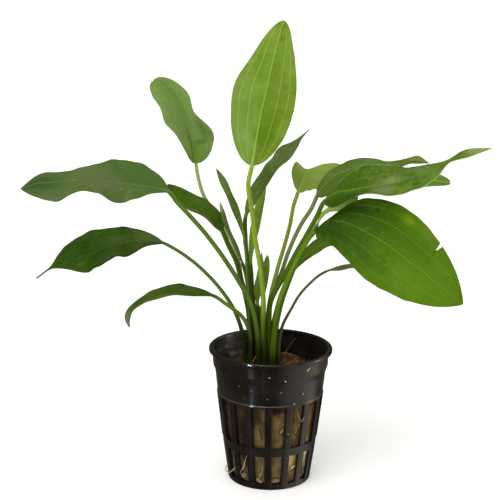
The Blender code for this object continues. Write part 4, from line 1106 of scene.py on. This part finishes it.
def wool_material():
    """Olive tan mineral wool, dark brown above on the left, rusty above on the right, crumbs on top,
    with painted shade that turns them nearly black towards the gap on the right.
    """
    s = Shader("matted_wool")
    spot = s.place
    x, y, z = spot.split()
    clods = spot.noise(160.0, 4.0, 0.6)
    fibres = spot.scaled(1.0, 1.0, 0.3).noise(1100.0, 3.0, 0.6)
    colour = clods.ramp(0.35, 0.65).between((84, 70, 34), (122, 106, 62))
    colour = colour.tinted(fibres.ramp(0.45, 0.7) * 0.4, (146, 130, 84))
    damp, height = damp_share(spot)
    colour = colour.tinted(damp * 0.9, (38, 25, 12))
    rust = height.ramp(1.25, 1.6, 0.0, 0.75) * x.ramp(-0.002, 0.01)
    colour = colour.tinted(rust, (84, 46, 16))
    streaks = spot.scaled(1.0, 1.0, 0.12).noise(420.0, 3.0).ramp(0.52, 0.66, 0.0, 0.7)
    colour = colour.tinted(streaks * z.ramp(0.018, 0.026), (48, 32, 14))
    brown = spot.scaled(1.0, 1.0, 0.2).noise(300.0, 3.0).ramp(0.6, 0.72, 0.0, 0.4)
    colour = colour.tinted(brown * damp, (92, 62, 34))
    colour = wool_marked(colour, spot)
    crumbs = spot.noise(520.0, 4.0, 0.65).ramp(0.4, 0.62).between((44, 28, 14), (112, 80, 46))
    # Painted shade: the crumbs turn nearly black towards the gap between the plug and the pot's wall on the
    # right.
    to_shaded_gap = x + y * 0.33 + clods * 0.004
    crumbs = crumbs.tinted(to_shaded_gap.ramp(0.0162, 0.0192, 0.0, 0.95), (16, 12, 8))
    crumbs = crumbs.tinted(x.ramp(-0.012, 0.004, 0.75, 0.0), (36, 28, 14))
    colour = z.ramp(0.0495, 0.0505).between(colour, crumbs)
    s.bump(fibres + spot.noise(700.0, 4.0, 0.7), 0.0004, 0.8)
    s.surface(Base_Color=colour, Roughness=0.95, Specular_IOR_Level=0.1)
    return s.material


def tube(path, radii, sides):
    """Points and faces of a closed tube along a path."""
    path = np.array(path, float)
    ways = unit(np.gradient(path, axis=0))
    side = unit(np.cross(ways, (0.31, 0.22, 0.92)))
    other = np.cross(ways, side)
    radii = np.broadcast_to(radii, len(path))[:, None]
    points = []
    for k in range(sides):
        angle = 2.0 * math.pi * k / sides
        points.append(path + radii * (math.cos(angle) * side + math.sin(angle) * other))
    return np.stack(points, 1).reshape(-1, 3), ring_faces(len(path), sides)


def joined(parts):
    """Several points-and-faces pairs as one."""
    points, faces, count = [], [], 0
    for more_points, more_faces in parts:
        points.append(more_points)
        faces += [tuple(i + count for i in face) for face in more_faces]
        count += len(more_points)
    return np.concatenate(points), faces


STEPS_BETWEEN = 6


def through(points):
    """A smooth path through given points, in a few steps from each to the next."""
    points = np.array(points, float)
    places = np.linspace(0.0, 1.0, STEPS_BETWEEN * (len(points) - 1) + 1)
    return smooth_curve(points, distances_along(points), places)


def on_wall(angle, height, proud=0.0):
    """The point of the pot's wall at an angle, 0 in front and positive to the right, and a height."""
    a = math.radians(angle)
    radius = np.interp(height, (0.0, *LOWER_SLOTS, *UPPER_SLOTS, *BAND_HEIGHTS, *COLLAR_HEIGHTS),
                       (FOOT_RADIUS, *LOWER_RADII, *UPPER_RADII, *BAND_RADII, *COLLAR_RADII)) + proud
    return np.array((radius * math.sin(a), -radius * math.cos(a), height))


def fibre_material(name, dark, light, damp=0.0):
    """Plain fibre or flake of two tints, and darker where the rockwool is damp if damp is given."""
    s = Shader(name)
    spot = s.place
    tint = spot.noise(420.0).ramp(0.35, 0.65).between(dark, light)
    if damp:
        tint = tint.tinted(damp_share(spot)[0] * damp, (42, 29, 15))
        tint = wool_marked(tint, spot)
    s.surface(Base_Color=tint, Roughness=0.7, Specular_IOR_Level=0.25)
    return s.material


# Fibres in the wall of the plug: how many, and where their middles and their ends may lie
WALL_FIBRES = 1100
WALL_FIBRE_RADIUS = 0.045
WALL_FIBRE_HEIGHTS = (3.5, 39.0)
WALL_FIBRE_ENDS = (3.0, 39.4)
WALL_FIBRE_LEAN = 1.3
PLUG_RADIUS = 20.0

# Fibres on its top: how many, and how far out and how high they lie
TOP_FIBRES = 900
TOP_FIBRE_RADIUS = 0.08
TOP_FIBRE_REACH = 20.5
TOP_FIBRE_LIMIT = 21.6
TOP_MIDDLE_X = -1.0
TOP_HEIGHT = 52.3
TOP_DROP = 1.9


def make_wall_fibres(draw):
    """Loose mineral fibres lying in the face of the plug behind the slots."""
    parts = []
    for _ in range(WALL_FIBRES):
        height = draw.uniform(*WALL_FIBRE_HEIGHTS)
        angle = draw.uniform(0.0, 360.0)
        lean = draw.uniform(-1.0, 1.0) * WALL_FIBRE_LEAN
        extent = draw.uniform(2.0, 6.0)
        curve = draw.uniform(-12.0, 12.0)
        path = []
        for s in np.linspace(-0.5, 0.5, 6):
            up = np.clip(height + s * extent * math.cos(lean), *WALL_FIBRE_ENDS)
            turn = angle + math.degrees(s * extent * math.sin(lean) / PLUG_RADIUS) + curve * s * s
            path.append(on_wall(turn, up, -WALL - 0.1 - 0.9 * s * s - 0.1 * draw.random()))
        parts.append(tube(path, WALL_FIBRE_RADIUS, 3))
    material = fibre_material("wool_fibre", (88, 70, 40), (132, 116, 74), damp=0.85)
    new_object("rockwool_fibres", *joined(parts), material, slot="rockwool")


def make_top_fibres(draw):
    """Brown and tan fibres and crumbs matted on the plug's top round the stalks."""
    parts = []
    for _ in range(TOP_FIBRES):
        angle = draw.uniform(0.0, 2.0 * math.pi)
        reach = TOP_FIBRE_REACH * math.sqrt(draw.uniform(0.12, 1.0))
        x, y = reach * math.cos(angle) + TOP_MIDDLE_X, reach * math.sin(angle)
        height = TOP_HEIGHT - TOP_DROP * step(reach, 12.0, TOP_FIBRE_REACH)
        heading = draw.uniform(0.0, 2.0 * math.pi)
        extent = draw.uniform(2.5, 8.0)
        bend = draw.uniform(-1.6, 1.6)
        arch = draw.uniform(0.0, 0.9)
        path = []
        for s in np.linspace(-0.5, 0.5, 7):
            turn = heading + bend * s
            px = x + s * extent * math.cos(turn)
            py = y + s * extent * math.sin(turn)
            inside = min(1.0, TOP_FIBRE_LIMIT / math.hypot(px, py))
            path.append((px * inside, py * inside, height + arch * (0.25 - s * s) * 3.0 - 0.25))
        parts.append(tube(path, TOP_FIBRE_RADIUS * draw.uniform(0.6, 1.5), 3))
    material = fibre_material("brown_fibre", (64, 42, 22), (132, 98, 58), damp=0.5)
    new_object("plug_top_fibres", *joined(parts), material, slot="rockwool")


# Rhizome, with its knobs as size and height
CROWN_MIDDLE_X = -3.7
CROWN_HALF_SIZE = (8.3, 5.9)
CROWN_HEIGHTS = (46.2, 51.45)
CROWN_SIDES = 96
CROWN_ROWS = 40
CROWN_KNOBS = ((2.2, 0.5), (0.8, 0.2))
KNOB_LIMIT = 0.35


def make_crown():
    """The rhizome: a knobbly dome with the scars of old leaves."""
    points = []
    for row in range(CROWN_ROWS + 1):
        s = row / CROWN_ROWS
        spread = math.sin(0.5 * math.pi * min(1.0, s * 2.2 + 0.35)) * (1.0 - step(s, 0.55, 1.0) * 0.98)
        rise = mix(*CROWN_HEIGHTS, step(s, 0.0, 0.75) ** 0.8)
        for k in range(CROWN_SIDES):
            angle = 2.0 * math.pi * k / CROWN_SIDES
            place = np.array((CROWN_MIDDLE_X + CROWN_HALF_SIZE[0] * spread * math.cos(angle),
                              CROWN_HALF_SIZE[1] * spread * math.sin(angle), rise))
            place[2] += min(lumps(place, CROWN_KNOBS), KNOB_LIMIT)
            points.append(place)
    faces = ring_faces(CROWN_ROWS + 1, CROWN_SIDES)
    new_object("fine_crown", points, faces, crown_material(), slot="rhizome", replaces="crown")


def crown_material():
    """Dark olive, rough skin."""
    s = Shader("rhizome_skin")
    tint = s.place.noise(500.0, 4.0, 0.6).ramp(0.35, 0.65).between((34, 30, 12), (78, 74, 30))
    s.bump(s.place.noise(900.0, 4.0, 0.6), 0.0003, 0.8)
    s.surface(Base_Color=tint, Roughness=0.65, Specular_IOR_Level=0.3)
    return s.material


# Fine roots through the slots: points as angle, height and how proud of the pot's wall; then the radius
ROOTS = {
    "root_curl": (((-84, 5.5, -0.6), (-83, 3.6, 0.9), (-72, 3.2, 0.8), (-60, 5.2, 0.4), (-53, 7.4, 0.2),
        (-51, 9.5, -1.4)), 0.2),
    "root_left": (((-31, 16.0, -1.6), (-31, 14.8, -0.2), (-33, 12.0, 0.1), (-36, 9.4, 0.2), (-41, 7.0, 0.1),
        (-43, 5.2, -0.7)), 0.16),
    "root_middle": (((-9, 11.5, -1.4), (-10, 9.4, -0.4), (-12, 7.4, -0.2), (-15, 5.2, -0.5),
        (-17, 3.6, -1.2)), 0.16),
    "root_high": (((31, 36.5, -1.2), (32.5, 34.2, 0.15), (34, 32.8, 0.35), (36, 32.2, 0.35),
        (38.5, 33.2, 0.2), (41, 33.8, -1.0)), 0.09),
    "root_low_right": (((52, 14.0, -1.3), (54, 11.0, -0.5), (51, 7.5, -0.3), (55, 5.0, -0.8)), 0.15),
    "root_back_left": (((-140, 13.0, -1.3), (-143, 10.5, 0.2), (-149, 8.0, 0.5), (-156, 8.2, 0.3),
        (-160, 10.0, -1.2)), 0.17),
    "root_back_right": (((128, 15.0, -1.4), (131, 11.5, 0.1), (128, 8.0, 0.2), (122, 5.0, -0.6)), 0.16),
}


def make_roots():
    """Pale fine roots that curl out of the slots."""
    material = fibre_material("root_skin", (128, 108, 72), (186, 172, 134))
    for name, (points, radius) in ROOTS.items():
        path = through([on_wall(*point) for point in points])
        radii = radius * (0.75 + 0.35 * np.cos(np.linspace(-1.2, 1.4, len(path))))
        new_object(name, *tube(path, radii, 8), material)


# Chips and flecks on the pot and in the windows: angle and height, length and width, turn in degrees, how
# proud of the wall, and colour. Each is a low heap of rings: share of its size, and height
CHIPS = {
    "chip_blob_left": ((-38.0, 5.4), (3.0, 2.4), 20.0, -0.6, (124, 112, 88)),
    "chip_pink_middle": ((-14.6, 4.1), (3.2, 1.9), -30.0, -0.9, (150, 122, 104)),
    "chip_pink_right": ((7.6, 4.4), (4.4, 1.9), 0.0, -0.7, (124, 100, 84)),
    "chip_bright": ((32.0, 10.0), (2.6, 0.7), 35.0, -0.6, (226, 200, 158)),
    "chip_window": ((13.6, 28.4), (2.8, 1.0), 62.0, -1.0, (136, 118, 76)),
    "leaf_fragment": ((38.6, 56.2), (2.8, 1.1), 36.0, 0.12, (176, 178, 116)),
    "fleck_ring": ((-1.7, 54.0), (0.9, 0.6), 30.0, 0.05, (150, 144, 134)),
    "fleck_a": ((14.2, 52.2), (1.0, 0.55), -8.0, 0.05, (176, 166, 134)),
    "fleck_b": ((10.5, 46.9), (0.7, 0.5), 20.0, 0.05, (170, 160, 136)),
    "fleck_c": ((35.9, 44.9), (0.6, 0.55), 50.0, 0.05, (196, 190, 168)),
    "fleck_d": ((-3.5, 43.8), (0.5, 0.4), 10.0, 0.05, (150, 146, 134)),
    "fleck_e": ((25.3, 41.1), (1.0, 0.7), -10.0, 0.3, (170, 158, 122)),
    "fleck_f": ((-34.2, 48.3), (0.5, 0.4), 0.0, 0.05, (128, 124, 104)),
    "fleck_g": ((20.5, 27.1), (0.55, 0.45), 0.0, 0.05, (180, 172, 150)),
    "fleck_h": ((16.0, 40.6), (0.5, 0.35), 0.0, 0.3, (140, 136, 120)),
}
CHIP_RINGS = ((0.9, -0.12), (1.0, 0.05), (0.75, 0.16), (0.3, 0.2))
CHIP_SIDES = 14
UP = np.array((0.0, 0.0, 1.0))


def make_chips():
    """Small thin flakes of grit and leaf that cling to the pot."""
    for name, ((angle, height), (long_side, width), turn, proud, colour) in CHIPS.items():
        middle = on_wall(angle, height, proud)
        out = unit(middle - UP * height)
        t = math.radians(turn)
        first = np.cross(UP, out) * math.cos(t) + UP * math.sin(t)
        second = np.cross(out, first)
        points = []
        for share, lift in CHIP_RINGS:
            for k in range(CHIP_SIDES):
                a = 2.0 * math.pi * k / CHIP_SIDES
                ragged = 1.0 + 0.25 * noise.noise(Vector((3.0 * math.cos(a), 3.0 * math.sin(a), angle)))
                reach = 0.5 * share * ragged
                points.append(middle + first * (long_side * reach * math.cos(a))
                              + second * (width * reach * math.sin(a)) + out * lift * min(1.0, width))
        faces = ring_faces(len(CHIP_RINGS), CHIP_SIDES)
        dark = [round(c * 0.78) for c in colour]
        new_object(name, points, faces, fibre_material("skin_" + name, dark, colour))


# Dry stems on the plug: listed points, and the radius at the foot
DRY_STEMS = {
    "dry_stem_long": (((7.0, 15.5, 51.6), (7.6, 15.6, 53.2), (8.8, 14.6, 55.4), (10.2, 12.4, 58.4),
        (11.2, 10.8, 60.2)), 0.32),
    "dry_stem_short": (((-8.6, -4.4, 51.2), (-8.2, -4.6, 53.0), (-7.3, -5.2, 55.2),
        (-6.6, -5.8, 57.0)), 0.42),
    "dry_stem_lying": (((3.5, 12.5, 52.3), (6.0, 11.0, 53.4), (9.5, 9.5, 53.0), (13.0, 9.0, 52.0)), 0.25),
}
STEM_TAPER = 0.55


def make_dry_stems():
    """Three dead stalks, thinner towards their ends."""
    material = fibre_material("dry_stem", (104, 74, 40), (150, 122, 72))
    for name, (points, radius) in DRY_STEMS.items():
        path = through(points)
        radii = np.linspace(radius, STEM_TAPER * radius, len(path))
        new_object(name, *tube(path, radii, 8), material)


# Stage and light, in metres
FLOOR_HALF = 40.0
WHITE = (1.0, 1.0, 1.0, 1.0)
WARM = (1.0, 0.94, 0.82, 1.0)
AIM = Vector((0.0, 0.0, 0.05))
KEY_SPREAD = 50.0


def floor_material():
    """Nearly white, and a little bright of itself."""
    s = Shader("pale_floor")
    tint = s.place.noise(3.0).between((243, 243, 241), (247, 247, 246))
    s.surface(Base_Color=tint, Roughness=0.9, Specular_IOR_Level=0.1, Emission_Color=WHITE,
              Emission_Strength=0.2)
    return s.material


def make_stage():
    """A plain pale floor."""
    mesh = bpy.data.meshes.new("floor")
    corners = [(x * FLOOR_HALF, y * FLOOR_HALF, 0) for x, y in ((-1, -1), (1, -1), (1, 1), (-1, 1))]
    mesh.from_pydata(corners, [], [(0, 1, 2, 3)])
    floor = bpy.data.objects.new("floor", mesh)
    mesh.materials.append(floor_material())
    bpy.context.collection.objects.link(floor)
    floor.visible_glossy = False


def make_camera():
    """The camera that was fitted to the photograph."""
    data = bpy.data.cameras.new("camera")
    data.sensor_fit = "HORIZONTAL"
    data.sensor_width = SENSOR
    data.lens = SENSOR * FOCAL_PIXELS / IMAGE_PIXELS
    data.clip_start = 0.01
    camera = bpy.data.objects.new("camera", data)
    tilt = Matrix.Rotation(math.radians(90.0 - CAMERA_PITCH), 4, "X")
    camera.matrix_world = (Matrix.Translation(CAMERA_PLACE) @ tilt
                           @ Matrix.Rotation(math.radians(CAMERA_ROLL), 4, "Z"))
    bpy.context.collection.objects.link(camera)
    bpy.context.scene.camera = camera


def make_world():
    """Even studio light, darker from the front; what gloss mirrors is darker below and to the left."""
    world = bpy.data.worlds.new("studio")
    world.use_nodes = True
    bpy.context.scene.world = world
    tree = world.node_tree
    x, y, z = Value(add_node(tree, "TexCoord").outputs["Generated"]).split()
    even = y.ramp(-1.05, 0.45, 0.35, 0.9)
    to_right = x * 0.75 + z.math("MAXIMUM", 0.0) * 0.9 - y.math("MAXIMUM", 0.0) * 0.8
    low = x.ramp(0.84, 0.97) * z.ramp(-0.4, -0.12, 1.0, 0.0)
    mirrored = to_right.ramp(0.05, 0.6, 0.12, 1.35) + low
    in_gloss = Value(add_node(tree, "LightPath").outputs["Is Glossy Ray"])
    background = tree.nodes["Background"]
    put(background.inputs["Color"], in_gloss.between(WHITE, WARM))
    put(background.inputs["Strength"], even + in_gloss * (mirrored - even))


def new_light(name, kind, azimuth, elevation, power, colour):
    """A light from an azimuth (0 in front, 90 from the right) and an elevation, and the way to it."""
    data = bpy.data.lights.new(name, kind)
    data.energy = power
    data.color = colour
    light = bpy.data.objects.new(name, data)
    a, e = math.radians(azimuth), math.radians(elevation)
    away = Vector((math.sin(a) * math.cos(e), -math.cos(a) * math.cos(e), math.sin(e)))
    light.rotation_mode = "QUATERNION"
    light.rotation_quaternion = away.to_track_quat("Z", "Y")
    bpy.context.collection.objects.link(light)
    return light, away


def gloss_light(name, azimuth, elevation, distance, size, power, colour):
    """A panel that shows only as gloss."""
    light, away = new_light(name, "AREA", azimuth, elevation, power, colour)
    light.data.shape = "RECTANGLE"
    light.data.size, light.data.size_y = size
    light.location = AIM + away * distance
    light.visible_diffuse = False
    light.visible_transmission = False
    light.visible_camera = False


def make_lights():
    """The world, a soft key light from the upper left, and two panels that the pot mirrors."""
    make_world()
    key, _ = new_light("key", "SUN", azimuth=-28.0, elevation=52.0, power=1.7, colour=(1.0, 0.985, 0.96))
    key.data.angle = math.radians(KEY_SPREAD)
    gloss_light("glint", azimuth=-38.0, elevation=2.0, distance=0.7, size=(0.008, 0.25), power=6.0,
                colour=(0.68, 0.82, 1.0))
    gloss_light("side", azimuth=92.0, elevation=4.0, distance=0.8, size=(0.2, 0.4), power=1.6,
                colour=(1.0, 0.95, 0.86))


bpy.context.scene.view_settings.view_transform = "Standard"
make_camera()
make_stage()
make_lights()
for leaf_name, leaf_facts in LEAVES.items():
    make_leaf(leaf_name, leaf_facts, PHASE_STEP * sorted(LEAVES).index(leaf_name))
make_pot()
make_plug()
make_crown()
make_wall_fibres(random.Random(11))
make_top_fibres(random.Random(12))
make_roots()
make_chips()
make_dry_stems()
